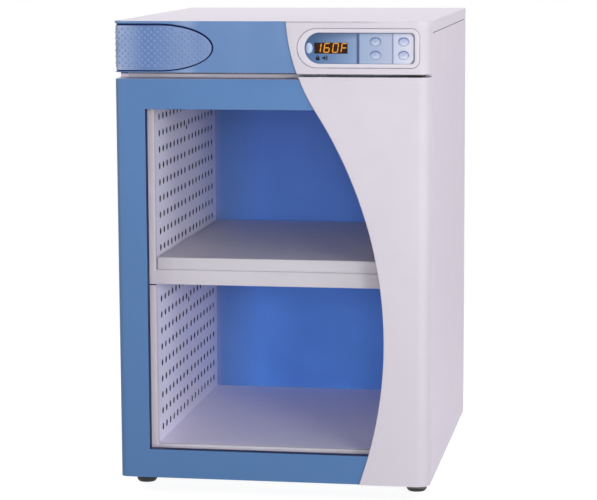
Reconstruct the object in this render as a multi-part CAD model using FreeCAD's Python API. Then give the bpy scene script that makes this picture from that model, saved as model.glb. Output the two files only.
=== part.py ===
import FreeCAD, Part
import os
from math import asin, cos, pi, radians, sin

# Blanket warming cabinet: a free-standing heated cabinet with one glazed door.
# Frame: origin on the floor under the middle of the cabinet, +X to the right,
# +Y from the door to the rear, +Z up. All sizes are in millimetres.

V = FreeCAD.Vector

# ---- overall
WIDTH = 457.2
DEPTH = 531.0              # blue front plane to the rear edges
BODY_HEIGHT = 671.2        # without the feet
FOOT_HEIGHT = 19.8
SHEET = 1.2
CLEAR = 0.3                # general fit between pieces
BODY_SETBACK = 39.6        # blue front plane to the front of the body

# ---- covers, door and header
COVER_THICK = 3.0          # moulded white covers, proud of the blue front
CORNER_LEFT = 10.0
CORNER_RIGHT = 18.0
BACK_CORNER = 6.0          # rounded rear edge beside the hinge
COVER_EDGE = 1.6           # rounding of the covers' swept edge
EDGE_RUN = 5.0             # that rounding is run past both ends and cut back
HEADER_HEIGHT = 73.5
HEADER_WALL = 3.5
HEADER_RIM = 2.0
HEADER_COVER_DROP = 1.0
HEADER_TONGUE = 5.0        # header and lid overlap behind the front of the body
COVER_FIT = 0.2
FINGER_GAP = 9.2
DOOR_COVER_RISE = 3.9
DOOR_LIFT = 1.0            # underside of the door above the body's underside
DOOR_SKIN = 1.5
DOOR_GAP = 1.6             # rear edge of the door to the body
PAN_GAP = 3.6              # rear of the door's inner tray to the body
PAN_FRONT = 15.0
PAN_STILE = 34.0
PAN_RAIL = 31.0
SWEEP_RADIUS = 617.4       # long bulge of the line between blue and white
SWEEP_BELLY_INSET = 65.7   # its furthest reach, from the right side
SWEEP_BELLY_HEIGHT = 209.0
SWEEP_TURN = 32.7          # degrees up to where the curve turns back
SWEEP_FOOT = 12.0          # the line runs straight below this height
SWEEP_TOP_RADIUS = 271.0

# ---- window
WINDOW_LEFT = 44.5
WINDOW_RIGHT = 45.2
WINDOW_BOTTOM = 43.2
WINDOW_TOP_RAIL = 43.8
GLASS_THICK = 4.0
GLASS_SETBACK = 9.0
GLASS_LAP = 5.0
SEAL_WIDTH = 8.0
LEDGE_LAP = 1.5
GASKET_WIDTH = 12.0
GASKET_INSET = 14.0

# ---- hinge
PIN_INSET = 11.2
PIN_SETBACK = 15.0
PIN_RADIUS = 3.0
PIN_CLEAR = 0.05
PIN_REACH = 14.0
BUSH_RADIUS = 4.7
BUSH_FLANGE = 6.2
BUSH_LENGTH = 12.0
BUSH_HEAD = 0.8
COVER_PIN_HOLE = 4.5
HINGE_PLATE = 3.0
HINGE_WIDTH = 27.0
HINGE_SIDE = 5.0
HINGE_NOSE = 10.0          # plate in front of the pin
HINGE_CORNER = 6.0
HINGE_LAP = 15.0           # lower plate under the body
HINGE_SCREW_LEAD = 8.6     # upper screws in front of the body
HINGE_SCREW_LAP = 8.0      # lower screws behind the front of the body

# ---- grip pad on the header
PAD_LENGTH = 144.7
PAD_NOSE = 79.5
PAD_MARGIN = 3.85          # header's height left above and below the pad, on average
PAD_THICK = 2.0
PAD_GROOVE = 1.6
PAD_SIDE_REACH = 34.0
PAD_FIT = 0.2

# ---- control panel
BEZEL_RIGHT = 14.4
BEZEL_LENGTH = 174.8
BEZEL_HEIGHT = 55.5
BEZEL_CORNER = 12.0
BEZEL_SIDE = 7.1
BEZEL_LEFT = 10.5
BEZEL_BAND = 5.85
BEZEL_GROOVE = 0.6
BEZEL_ROUND = 1.2
BEZEL_DROP = 1.1           # panel's middle below the header's middle
PANEL_CORNER = 6.0
PANEL_SETBACK = 1.0        # panel face behind the blue front plane
PANEL_THICK = 2.5
PANEL_FLANGE = 3.0
PANEL_FLANGE_THICK = 1.5
PANEL_FIT = 0.2
DIVIDER_DEPTH = 0.8
DISPLAY_WINDOW = (47.8, 15.5)
DISPLAY_BODY = (50.3, 19.0)
DISPLAY_OFFSET = 37.4      # window centre from the panel's left end
LENS_SIZE = (11.5, 16.5)
LENS_OFFSET = 6.0
LENS_PROUD = 1.2
LENS_ROUND = 0.9
LENS_CLEAR = 0.15
DISPLAY_SETBACK = 1.6      # display face behind the panel's face
DIVIDERS = ((76.1, 4.0), (125.6, 2.0))      # (offset from the panel's left end, width)
KEY_SIZE = (16.0, 12.6)
KEY_COLUMNS = (101.1, 141.2)
KEY_ROW_PITCH = 19.0
KEY_PROUD = 0.8
KEY_TRAVEL = 0.6
KEY_CLEAR = 0.25
KEY_FLANGE = (1.5, 1.0)    # width and thickness
KEY_ROUND = 0.7
PLUNGER_RADIUS = 1.6
SWITCH_BODY = (6.0, 3.5)
SWITCH_BUTTON = 1.7
SWITCH_HEIGHT = 4.2
BOARD_SETBACK = 14.0
BOARD_THICK = 1.6
BOARD_SIZE = (152.0, 52.0)
BOARD_END = 1.0
POST_RADIUS = 2.8
POST_INSET = 4.5
POST_ROW_INSET = 2.0

# ---- chamber
WALL_INSET = 48.8          # outer side to the chamber's side wall
REAR_SPACE = 53.0          # chamber back to the rear edges
CHAMBER_FLOOR = 43.2
CEILING_DROP = 35.7        # header's underside to the chamber ceiling
UPPER_HEIGHT = 256.5       # divider to the chamber ceiling
DIVIDER_HEIGHT = 22.0
SHELF_RISE = 17.8
SHELF_BEND = 2.0
SHELF_SIDE_GAP = 1.5
SHELF_FRONT_GAP = 1.0
SHELF_REAR_GAP = 2.0
SHELF_SEAT = 0.1
FRAME_BEND = 3.0
FRAME_LIP = 6.4
FRAME_SEAM = 1.2
FRAME_TOP = 12.0           # lap of the face frame behind the header
DUCT_DEPTH = 22.4
HOLE_RADIUS = 5.0
HOLE_PITCH_Y = 24.6
HOLE_PITCH_Z = 24.3
HOLE_FIRST_Y = 32.4        # first column behind the body front
HOLE_COLUMNS = 8           # in the front one of two fields
HOLE_FIELD_GAP = 32.0      # between the two fields
HOLE_MARGIN = 12.0         # last hole to the panel's edge, at least
HOLE_FIRST_UPPER = 34.2    # first row below the chamber ceiling
HOLE_FIRST_LOWER = 26.8    # first row below the divider
PORT_DROP = 7.5
PANEL_START = 6.7

# ---- body shell
TOP_FLANGE = 17.6
LID_SEAM = 0.8             # side panel's top edge to the lid's flange
LID_LAP = 14.0             # side panel's joggled lap inside the lid
SIDE_FLANGE = 12.0
REAR_INSET = 2.0
PAN_FLANGE = 15.0
DECK_DROP = 5.7            # header's underside to the equipment deck
PLENUM_GAP = 1.0

# ---- fan, heater and electrics
FAN_RADIUS = 65.0
FAN_HEIGHT = 22.0
FAN_BLADES = 24
FAN_PLATE = 1.5
FAN_BLADE = (12.0, 1.0)    # chord and thickness
FAN_BLADE_TURN = 35.0
FAN_EYE_BAND = 14.0
HUB_RADIUS = 9.0
HUB_RISE = 8.0             # hub's underside above the wheel's underside
SHAFT_RADIUS = 3.0
SHAFT_REACH = 34.0         # above the equipment deck
SHAFT_HOLE = 12.0
MOTOR_RADIUS = 40.0
MOTOR_HEIGHT = 46.0
MOTOR_FLANGE = (52.0, 2.0)     # radius and thickness
MOTOR_ROUND = 3.0
HEATER_RADIUS = 85.0
HEATER_TUBE = 4.0
HEATER_SWEEP = 330.0
HEATER_LEG = 16.0          # above the equipment deck
PROBE_GAP = 33.6
PROBE_RADIUS = 2.5
PROBE_TIP = 8.0            # above the chamber ceiling
PROBE_FLANGE = (7.0, 3.0)
THERMOSTAT = (9.0, 11.0)   # radius and height
THERMOSTAT_PLACE = (70.0, 70.0)
THERMOSTAT_TAB = (0.8, 6.0, 8.0)
THERMOSTAT_TAB_REACH = 4.0
GRILLE_RADIUS = 55.0
GRILLE_PITCH = 12.0
GRILLE_HOLE = 4.0
DUCT_SLOT_END = 12.0       # ceiling left at each end of a duct's slot
INLET_INSET = 70.0
INLET_BELOW_TOP = 46.0
INLET_FLANGE = (50.0, 32.0)
INLET_CUTOUT = (28.0, 21.0)
INLET_BODY = 24.0
INLET_SOCKET = (24.0, 16.4, 16.0)      # width, height and depth
INLET_PIN = (2.0, 4.0, 12.0)
INLET_PIN_PLACES = ((-7.0, -2.0), (0.0, 2.0), (7.0, -2.0))
SUPPLY_SIZE = (120.0, 80.0, 34.0)
SUPPLY_PLACE = (40.0, 60.0)    # from the right side and the rear
SUPPLY_SLOTS = 8
SUPPLY_SLOT = (6.0, 1.5)
SUPPLY_SLOT_PITCH = 12.0
TERMINAL_SIZE = (62.0, 22.0, 16.0)
TERMINAL_PLACE = (50.0, 110.0)     # from the left side and the rear
TERMINAL_WAYS = 6
TERMINAL_PITCH = 10.0
TERMINAL_WALL = 2.0
TERMINAL_SILL = 3.0
TERMINAL_FLOOR = 9.0
TERMINAL_SCREW = (2.8, 3.0)

# ---- feet
FOOT_INSET = 24.8
FOOT_FRONT = 64.1
FOOT_REAR = 40.0
FOOT_RADIUS = 15.0
FOOT_DISC = 9.0
FOOT_TAPER = (2.0, 3.0)
FOOT_COLLAR = 8.5
STUD_RADIUS = 4.0
STUD_REACH = 26.0
STUD_HOLE = 5.0
SOCKET_RADIUS = 8.0

# ---- screws
SCREW_RADIUS = 2.0
SCREW_HEAD = 4.0
SCREW_HEAD_HEIGHT = 1.7
SCREW_LENGTH = 7.0
SCREW_HOLE = 2.1
REAR_SCREWS = 4            # up each side
REAR_SCREW_INSET = 7.5
REAR_SCREW_END = 40.0
HINGE_SCREW_INSET = 5.5

# ---- places worked out from the sizes
LEFT = -WIDTH / 2
RIGHT = WIDTH / 2
FRONT = -(DEPTH + COVER_THICK) / 2 + COVER_THICK
REAR = FRONT + DEPTH
BASE = FOOT_HEIGHT
TOP = BASE + BODY_HEIGHT
COVER_FRONT = FRONT - COVER_THICK
BODY_FRONT = FRONT + BODY_SETBACK
HEADER_BOTTOM = TOP - HEADER_HEIGHT
HEADER_RIGHT = RIGHT - COVER_THICK - COVER_FIT
DOOR_BOTTOM = BASE + DOOR_LIFT
DOOR_TOP = HEADER_BOTTOM - FINGER_GAP
DOOR_RIGHT = HEADER_RIGHT
PIN_X = RIGHT - PIN_INSET
PIN_Y = FRONT + PIN_SETBACK
PAN_OPENING = (LEFT + PAN_STILE, RIGHT - PAN_STILE, BASE + PAN_RAIL, DOOR_TOP - PAN_RAIL)
WINDOW = (LEFT + WINDOW_LEFT, RIGHT - WINDOW_RIGHT, BASE + WINDOW_BOTTOM, DOOR_TOP - WINDOW_TOP_RAIL)
WALL_LEFT = LEFT + WALL_INSET
WALL_RIGHT = RIGHT - WALL_INSET
CHAMBER_BACK = REAR - REAR_SPACE
DUCT_LEFT = WALL_LEFT - SHEET - DUCT_DEPTH
DUCT_RIGHT = WALL_RIGHT + SHEET + DUCT_DEPTH
FLOOR_Z = BASE + CHAMBER_FLOOR
CEILING_Z = HEADER_BOTTOM - CEILING_DROP
DIVIDER = (CEILING_Z - UPPER_HEIGHT - DIVIDER_HEIGHT, CEILING_Z - UPPER_HEIGHT)
DECK_Z = HEADER_BOTTOM - DECK_DROP
PANEL_LEFT = RIGHT - BEZEL_RIGHT - BEZEL_LENGTH + BEZEL_LEFT
PANEL_RIGHT = RIGHT - BEZEL_RIGHT - BEZEL_SIDE
PANEL_MID = HEADER_BOTTOM + HEADER_HEIGHT / 2 - BEZEL_DROP
PANEL_HALF = BEZEL_HEIGHT / 2 - BEZEL_BAND
PANEL_FACE = FRONT + PANEL_SETBACK
PANEL_REAR = PANEL_FACE + PANEL_THICK + PANEL_FLANGE_THICK
BOARD_Y = FRONT + BOARD_SETBACK
FAN_Y = (BODY_FRONT + CHAMBER_BACK) / 2
PROBE_X = -HEATER_RADIUS - PROBE_GAP
SWITCH_FACE = BOARD_Y - SWITCH_HEIGHT


# ---- basic shapes
def block(x0, x1, y0, y1, z0, z1):
    return Part.makeBox(x1 - x0, y1 - y0, z1 - z0, V(x0, y0, z0))


def span(a, b):
    return min(a, b), max(a, b)


def rod(radius, x, y, z, length, direction=V(0, 0, 1)):
    return Part.makeCylinder(radius, length, V(x, y, z), direction)


def upright_edges(shape, x, y):
    """Edges that run straight up at one place in plan."""
    return [e for e in shape.Edges
            if all(abs(v.X - x) < 1e-6 and abs(v.Y - y) < 1e-6 for v in e.Vertexes)]


def wrapped(x0, x1, y0, y1, z0, z1, left_radius, right_radius, back_radius=0.0):
    """A block whose front corners, seen from above, are rounded."""
    shape = block(x0, x1, y0, y1, z0, z1)
    for x, y, radius in ((x0, y0, left_radius), (x1, y0, right_radius), (x1, y1, back_radius)):
        if radius > 0:
            shape = shape.makeFillet(radius, upright_edges(shape, x, y))
    return shape


def ring(outer, inner, y0, y1):
    """An upright frame between two rectangles, each (left, right, bottom, top)."""
    return (block(outer[0], outer[1], y0, y1, outer[2], outer[3])
            .cut(block(inner[0], inner[1], y0 - 1, y1 + 1, inner[2], inner[3])))


def grown(rectangle, by):
    return (rectangle[0] - by, rectangle[1] + by, rectangle[2] - by, rectangle[3] + by)


def upright_prism(edges, y0, y1):
    return Part.Face(Part.Wire(edges)).extrude(V(0, y1 - y0, 0))


def oval(x, z, width, height, y0, y1):
    if width > height:
        curve = Part.Ellipse(V(x + width / 2, y0, z), V(x, y0, z + height / 2), V(x, y0, z))
    else:
        curve = Part.Ellipse(V(x, y0, z + height / 2), V(x + width / 2, y0, z), V(x, y0, z))
    return upright_prism([curve.toShape()], y0, y1)


def cover_region(y0, y1):
    """Everything to the right of the S-shaped line that parts white from blue."""
    centre_x = RIGHT - SWEEP_BELLY_INSET - SWEEP_RADIUS
    centre_z = BASE + SWEEP_BELLY_HEIGHT
    turn = radians(SWEEP_TURN)
    foot = -asin((SWEEP_BELLY_HEIGHT - SWEEP_FOOT) / SWEEP_RADIUS)
    joint_reach = SWEEP_RADIUS + SWEEP_TOP_RADIUS
    top_x = centre_x + joint_reach * cos(turn)
    top_z = centre_z + joint_reach * sin(turn)

    def on_bulge(angle):
        return V(centre_x + SWEEP_RADIUS * cos(angle), y0, centre_z + SWEEP_RADIUS * sin(angle))

    def on_hollow(angle):
        return V(top_x + SWEEP_TOP_RADIUS * cos(angle), y0, top_z + SWEEP_TOP_RADIUS * sin(angle))

    lowest = on_bulge(foot)
    joint = on_bulge(turn)
    highest = on_hollow(pi)
    ceiling = max(TOP, top_z) + 50
    tail = lowest + V(sin(foot), 0, -cos(foot)) * 60
    corners = [highest, V(highest.x, y0, ceiling), V(RIGHT + 50, y0, ceiling),
               V(RIGHT + 50, y0, tail.z), tail, lowest]
    edges = [Part.Arc(lowest, on_bulge((foot + turn) / 2), joint).toShape(),
             Part.Arc(joint, on_hollow(pi + turn / 2), highest).toShape()]
    edges += [Part.LineSegment(a, b).toShape() for a, b in zip(corners, corners[1:])]
    return upright_prism(edges, y0, y1)


def rounded_sweep(cover):
    """A cover whose front edge is rounded all along the swept line."""
    found = []
    for edge in cover.Edges:
        in_plane = all(abs(v.Y - COVER_FRONT) < 1e-6 for v in edge.Vertexes)
        curved = isinstance(edge.Curve, Part.Circle) and abs(abs(edge.Curve.Axis.y) - 1) < 1e-6
        if in_plane and curved and edge.Curve.Radius > SWEEP_TOP_RADIUS - 1:
            found.append(edge)
    return cover.makeFillet(COVER_EDGE, found)


def panel_outline(x0, x1, half, corner, y0, y1):
    """The control panel's outline: a round left end and a soft-cornered right end."""
    z0, z1 = PANEL_MID - half, PANEL_MID + half
    turn = corner * (1 - cos(pi / 4))
    points = [V(x0 + half, y0, z1), V(x1 - corner, y0, z1), V(x1, y0, z1 - corner),
              V(x1, y0, z0 + corner), V(x1 - corner, y0, z0), V(x0 + half, y0, z0)]
    edges = [Part.LineSegment(points[0], points[1]).toShape(),
             Part.Arc(points[1], V(x1 - turn, y0, z1 - turn), points[2]).toShape(),
             Part.LineSegment(points[2], points[3]).toShape(),
             Part.Arc(points[3], V(x1 - turn, y0, z0 + turn), points[4]).toShape(),
             Part.LineSegment(points[4], points[5]).toShape(),
             Part.Arc(points[5], V(x0, y0, PANEL_MID), points[0]).toShape()]
    return upright_prism(edges, y0, y1)


def bezel_outline(extra, y0, y1):
    return panel_outline(RIGHT - BEZEL_RIGHT - BEZEL_LENGTH - extra, RIGHT - BEZEL_RIGHT + extra,
                         BEZEL_HEIGHT / 2 + extra, BEZEL_CORNER + extra, y0, y1)


def pad_outline(extra, y0, y1):
    """The grip pad's outline: straight from the left side, with an elliptical nose."""
    mid = PANEL_MID
    half = HEADER_HEIGHT / 2 - PAD_MARGIN + extra
    centre = V(LEFT + PAD_LENGTH - PAD_NOSE, y0, mid)
    nose = Part.Ellipse(centre + V(PAD_NOSE + extra, 0, 0), centre + V(0, 0, half), centre)
    lower = V(centre.x, y0, mid - half)
    upper = V(centre.x, y0, mid + half)
    outside = LEFT - 5
    edges = [Part.ArcOfEllipse(nose, -pi / 2, pi / 2).toShape(),
             Part.LineSegment(upper, V(outside, y0, mid + half)).toShape(),
             Part.LineSegment(V(outside, y0, mid + half), V(outside, y0, mid - half)).toShape(),
             Part.LineSegment(V(outside, y0, mid - half), lower).toShape()]
    return upright_prism(Part.__sortEdges__(edges), y0, y1)


def header_solid(inset, z0, z1, y1=BODY_FRONT):
    return wrapped(LEFT + inset, HEADER_RIGHT - inset, FRONT + inset, y1, z0, z1,
                   CORNER_LEFT - inset, CORNER_RIGHT - COVER_THICK - COVER_FIT - inset)


def screw(x, y, z, direction):
    """A pan-head screw whose head sits against (x, y, z)."""
    shank = rod(SCREW_RADIUS, x, y, z, SCREW_LENGTH, direction)
    head = rod(SCREW_HEAD, x, y, z, SCREW_HEAD_HEIGHT, direction * -1)
    return head.fuse(shank)


def screw_holes(shape, places, direction):
    for x, y, z in places:
        start = V(x, y, z) - direction * 10
        shape = shape.cut(Part.makeCylinder(SCREW_HOLE, 20, start, direction))
    return shape


# ---- where the screws go
def rear_screw_places():
    """Screws up each side of the rear panel."""
    low, high = BASE + REAR_SCREW_END, TOP - REAR_SCREW_END
    rows = [low + i * (high - low) / (REAR_SCREWS - 1) for i in range(REAR_SCREWS)]
    return [(x, REAR - REAR_INSET, z) for x in (LEFT + REAR_SCREW_INSET, RIGHT - REAR_SCREW_INSET)
            for z in rows]


def hinge_screw_places(y, z):
    left = RIGHT - HINGE_SIDE - HINGE_WIDTH
    return [(left + HINGE_SCREW_INSET, y, z), (RIGHT - HINGE_SIDE - HINGE_SCREW_INSET, y, z)]


UPPER_HINGE_SCREWS = hinge_screw_places(BODY_FRONT - HINGE_SCREW_LEAD, HEADER_BOTTOM - HINGE_PLATE)
LOWER_HINGE_SCREWS = hinge_screw_places(BODY_FRONT + HINGE_SCREW_LAP, BASE - HINGE_PLATE)


# ---- outer body
def side_panel(side):
    """A folded side sheet; side is -1 on the left and +1 on the right."""
    x = side * WIDTH / 2
    inner = x - side * SHEET
    top = TOP - TOP_FLANGE - LID_SEAM

    sheet = block(*span(x, inner), BODY_FRONT, REAR, BASE, top)
    front = block(*span(x, x - side * SIDE_FLANGE), BODY_FRONT, BODY_FRONT + SHEET, BASE, top)
    rear_y = REAR - REAR_INSET - SHEET
    rear = block(*span(x, x - side * SIDE_FLANGE), rear_y - SHEET, rear_y, BASE, top)
    lap = block(*span(inner, inner - side * SHEET), BODY_FRONT + SHEET, rear_y - SHEET,
                top - LID_LAP, TOP - SHEET - CLEAR)
    panel = sheet.fuse(front).fuse(rear).fuse(lap).removeSplitter()
    return screw_holes(panel, rear_screw_places(), V(0, 1, 0))


def rear_panel():
    y1 = REAR - REAR_INSET
    panel = block(LEFT + SHEET + CLEAR, RIGHT - SHEET - CLEAR, y1 - SHEET, y1,
                  BASE + SHEET + CLEAR, TOP - SHEET - CLEAR)
    width, height = INLET_CUTOUT
    x, z = inlet_centre()
    panel = panel.cut(block(x - width / 2, x + width / 2, y1 - 5, y1 + 5, z - height / 2, z + height / 2))
    return screw_holes(panel, rear_screw_places(), V(0, 1, 0))


def base_pan():
    x0, x1 = LEFT + SHEET + CLEAR, RIGHT - SHEET - CLEAR
    y0, y1 = BODY_FRONT + SHEET + CLEAR, REAR - REAR_INSET - 2 * SHEET - CLEAR
    pan = block(x0, x1, y0, y1, BASE, BASE + PAN_FLANGE)
    pan = pan.cut(block(x0 + SHEET, x1 - SHEET, y0 + SHEET, y1 - SHEET, BASE + SHEET, BASE + 60))
    for x, y in foot_places():
        pan = pan.cut(rod(STUD_HOLE, x, y, BASE - 5, 20))
    return screw_holes(pan, LOWER_HINGE_SCREWS, V(0, 0, 1))


def top_cover():
    """The lid, with a tongue that drops into the header's rim."""
    z0 = TOP - SHEET
    lid = block(LEFT, RIGHT, BODY_FRONT + CLEAR, REAR, TOP - TOP_FLANGE, TOP)
    lid = lid.cut(block(LEFT + SHEET, RIGHT - SHEET, BODY_FRONT - 1, REAR - SHEET, TOP - 50, z0))
    rim = HEADER_RIM + CLEAR
    behind = BODY_FRONT + HEADER_TONGUE
    tongue = header_solid(rim, z0, TOP, behind)
    under_cover = header_solid(COVER_FIT / 2, z0, TOP, behind).common(cover_region(FRONT, behind + 1))
    return lid.fuse(tongue).fuse(under_cover).removeSplitter()


def face_frame_upper():
    """Front flange of the upper liner, with the band between the compartments."""
    y0 = BODY_FRONT
    side = SIDE_FLANGE + CLEAR
    opening = (WALL_LEFT, WALL_RIGHT, DIVIDER[1], CEILING_Z)
    outer = (LEFT + side, RIGHT - side, DIVIDER[0], HEADER_BOTTOM + FRAME_TOP)
    plate = ring(outer, opening, y0, y0 + SHEET)
    lip = ring(grown(opening, SHEET), opening, y0, y0 + FRAME_LIP)
    underlip = block(WALL_LEFT, WALL_RIGHT, y0, y0 + FRAME_LIP, DIVIDER[0], DIVIDER[0] + SHEET)
    frame = plate.fuse(lip).fuse(underlip).removeSplitter()
    return round_opening(frame, opening)


def face_frame_lower():
    """Front flange of the lower liner: two stiles and a sill."""
    y0 = BODY_FRONT
    side = SIDE_FLANGE + CLEAR
    top = DIVIDER[0] - FRAME_SEAM
    opening = (WALL_LEFT, WALL_RIGHT, FLOOR_Z, top + 50)
    plate = ring((LEFT + side, RIGHT - side, BASE, top + 80), opening, y0, y0 + SHEET)
    lip = ring(grown(opening, SHEET), opening, y0, y0 + FRAME_LIP)
    frame = plate.fuse(lip).removeSplitter()
    frame = frame.common(block(LEFT, RIGHT, y0 - 1, y0 + 50, BASE, top))
    return round_opening(frame, opening)


def round_opening(frame, opening):
    """Round the front edges of the stiles and rails around an opening."""
    chosen = []
    for edge in frame.Edges:
        points = [v.Point for v in edge.Vertexes]
        if any(abs(p.y - BODY_FRONT) > 1e-6 for p in points):
            continue
        upright = any(all(abs(p.x - x) < 1e-6 for p in points) for x in opening[:2])
        level = any(all(abs(p.z - z) < 1e-6 for p in points) for z in opening[2:])
        if upright or level:
            chosen.append(edge)
    return frame.makeFillet(FRAME_BEND, chosen)


# ---- chamber
def duct_panel(side, lower):
    """A perforated inner wall; warm air leaves the duct through its holes."""
    x = side * (WIDTH / 2 - WALL_INSET)
    y0 = BODY_FRONT + PANEL_START
    z0, z1 = (FLOOR_Z + CLEAR, DIVIDER[0]) if lower else (DIVIDER[1] + CLEAR, CEILING_Z - CLEAR)
    first = (DIVIDER[0] - HOLE_FIRST_LOWER) if lower else (CEILING_Z - HOLE_FIRST_UPPER)
    corners = [V(x, y0, z0), V(x, CHAMBER_BACK - CLEAR, z0), V(x, CHAMBER_BACK - CLEAR, z1), V(x, y0, z1)]
    wires = [Part.makePolygon(corners + corners[:1])]
    front_field = BODY_FRONT + HOLE_FIRST_Y
    rear_field = front_field + (HOLE_COLUMNS - 1) * HOLE_PITCH_Y + HOLE_FIELD_GAP
    rear_columns = int((CHAMBER_BACK - HOLE_MARGIN - rear_field) / HOLE_PITCH_Y) + 1
    rows = int((first - HOLE_MARGIN - z0) / HOLE_PITCH_Z) + 1
    for row in range(rows):
        for start, columns in ((front_field, HOLE_COLUMNS), (rear_field, rear_columns)):
            for column in range(columns):
                centre = V(x, start + column * HOLE_PITCH_Y, first - row * HOLE_PITCH_Z)
                wires.append(Part.Wire(Part.makeCircle(HOLE_RADIUS, centre, V(1, 0, 0))))
    port = V(x, rear_field - HOLE_FIELD_GAP / 2, first - HOLE_PITCH_Z - PORT_DROP)
    wires.append(Part.Wire(Part.makeCircle(HOLE_RADIUS - 1, port, V(1, 0, 0))))
    return Part.Face(wires, "Part::FaceMakerBullseye").extrude(V(side * SHEET, 0, 0))


def duct_wall(side):
    """The outer sheet of a side duct, with a foot flange turned in."""
    x = side * (WIDTH / 2 - WALL_INSET + SHEET + DUCT_DEPTH)
    y0, y1 = BODY_FRONT + SHEET + CLEAR, CHAMBER_BACK
    wall = block(*span(x, x + side * SHEET), y0, y1, FLOOR_Z - SHEET, DECK_Z)
    turned = block(*span(x, x - side * (DUCT_DEPTH - CLEAR)), y0, y0 + SHEET, FLOOR_Z, CEILING_Z)
    return wall.fuse(turned).removeSplitter()


def chamber_back():
    return block(DUCT_LEFT - SHEET, DUCT_RIGHT + SHEET, CHAMBER_BACK, CHAMBER_BACK + SHEET,
                 FLOOR_Z - SHEET, DECK_Z)


def chamber_floor():
    return block(DUCT_LEFT, DUCT_RIGHT, BODY_FRONT + FRAME_LIP, CHAMBER_BACK, FLOOR_Z - SHEET, FLOOR_Z)


def divider_deck():
    """A flat box between the compartments that carries the shelf."""
    x0, x1 = WALL_LEFT + CLEAR, WALL_RIGHT - CLEAR
    y0, y1 = BODY_FRONT + FRAME_LIP, CHAMBER_BACK
    z0, z1 = DIVIDER
    return (block(x0, x1, y0, y1, z0, z1)
            .cut(block(x0 - 1, x1 + 1, y0 + SHEET, y1 - SHEET, z0 + SHEET, z1 - SHEET)))


def ceiling_panel():
    """The chamber's ceiling, with a round return grille under the fan."""
    panel = block(DUCT_LEFT, DUCT_RIGHT, BODY_FRONT + FRAME_LIP, CHAMBER_BACK,
                  CEILING_Z, CEILING_Z + SHEET)
    for wall, duct in ((WALL_LEFT - SHEET, DUCT_LEFT - 1), (WALL_RIGHT + SHEET, DUCT_RIGHT + 1)):
        panel = panel.cut(block(*span(wall, duct), BODY_FRONT + DUCT_SLOT_END,
                                CHAMBER_BACK - DUCT_SLOT_END, CEILING_Z - 1, CEILING_Z + 5))
    steps = int(GRILLE_RADIUS / GRILLE_PITCH)
    holes = []
    for i in range(-steps, steps + 1):
        for j in range(-steps, steps + 1):
            if (i * i + j * j) * GRILLE_PITCH ** 2 <= GRILLE_RADIUS ** 2:
                holes.append(rod(GRILLE_HOLE, i * GRILLE_PITCH, FAN_Y + j * GRILLE_PITCH, CEILING_Z - 1, 5))
    return panel.cut(Part.makeCompound(holes))


def shelf():
    """A removable shelf: a sheet with all four edges turned down."""
    x0, x1 = WALL_LEFT + SHELF_SIDE_GAP, WALL_RIGHT - SHELF_SIDE_GAP
    y0, y1 = BODY_FRONT + SHELF_FRONT_GAP, CHAMBER_BACK - SHELF_REAR_GAP
    z0, z1 = DIVIDER[1] + SHELF_SEAT, DIVIDER[1] + SHELF_RISE
    tray = block(x0, x1, y0, y1, z0, z1)
    tray = tray.makeFillet(SHELF_BEND, [e for e in tray.Edges if e.BoundBox.ZMax > z1 - 1e-6])
    return tray.cut(block(x0 + SHEET, x1 - SHEET, y0 + SHEET, y1 - SHEET, z0 - 1, z1 - SHEET))


def around_sockets(slab):
    for x, y in foot_places():
        slab = slab.cut(rod(SOCKET_RADIUS + CLEAR, x, y, BASE, STUD_REACH + CLEAR))
    return slab


def insulation_side(side):
    outer = side * (WIDTH / 2 - SHEET - CLEAR)
    inner = side * (WIDTH / 2 - WALL_INSET + 2 * SHEET + DUCT_DEPTH + CLEAR)
    return around_sockets(block(*span(outer, inner), BODY_FRONT + SHEET + CLEAR,
                                CHAMBER_BACK + SHEET, BASE + PAN_FLANGE + CLEAR, DECK_Z - CLEAR))


def insulation_rear():
    slab = block(LEFT + SHEET + CLEAR, RIGHT - SHEET - CLEAR, CHAMBER_BACK + SHEET + CLEAR,
                 REAR - REAR_INSET - 2 * SHEET - CLEAR, BASE + PAN_FLANGE + CLEAR, DECK_Z - CLEAR)
    return screw_holes(around_sockets(slab), rear_screw_places(), V(0, 1, 0))


def insulation_floor():
    slab = block(DUCT_LEFT - SHEET, DUCT_RIGHT + SHEET, BODY_FRONT + FRAME_LIP + CLEAR,
                 CHAMBER_BACK + SHEET, BASE + SHEET + CLEAR, FLOOR_Z - SHEET - CLEAR)
    return screw_holes(around_sockets(slab), LOWER_HINGE_SCREWS, V(0, 0, 1))


def equipment_deck():
    """The floor of the equipment bay; fan, heater and supply are fixed to it."""
    deck = block(LEFT + 2 * SHEET + 2 * CLEAR, RIGHT - 2 * SHEET - 2 * CLEAR, BODY_FRONT + SHEET + CLEAR,
                 REAR - REAR_INSET - 2 * SHEET - CLEAR, DECK_Z, DECK_Z + SHEET)
    deck = deck.cut(rod(SHAFT_HOLE, 0, FAN_Y, DECK_Z - 2, 6))
    for x, y in heater_leg_places():
        deck = deck.cut(rod(HEATER_TUBE + CLEAR, x, y, DECK_Z - 2, 6))
    return deck.cut(rod(PROBE_RADIUS + CLEAR, PROBE_X, FAN_Y, DECK_Z - 2, 6))


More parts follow.
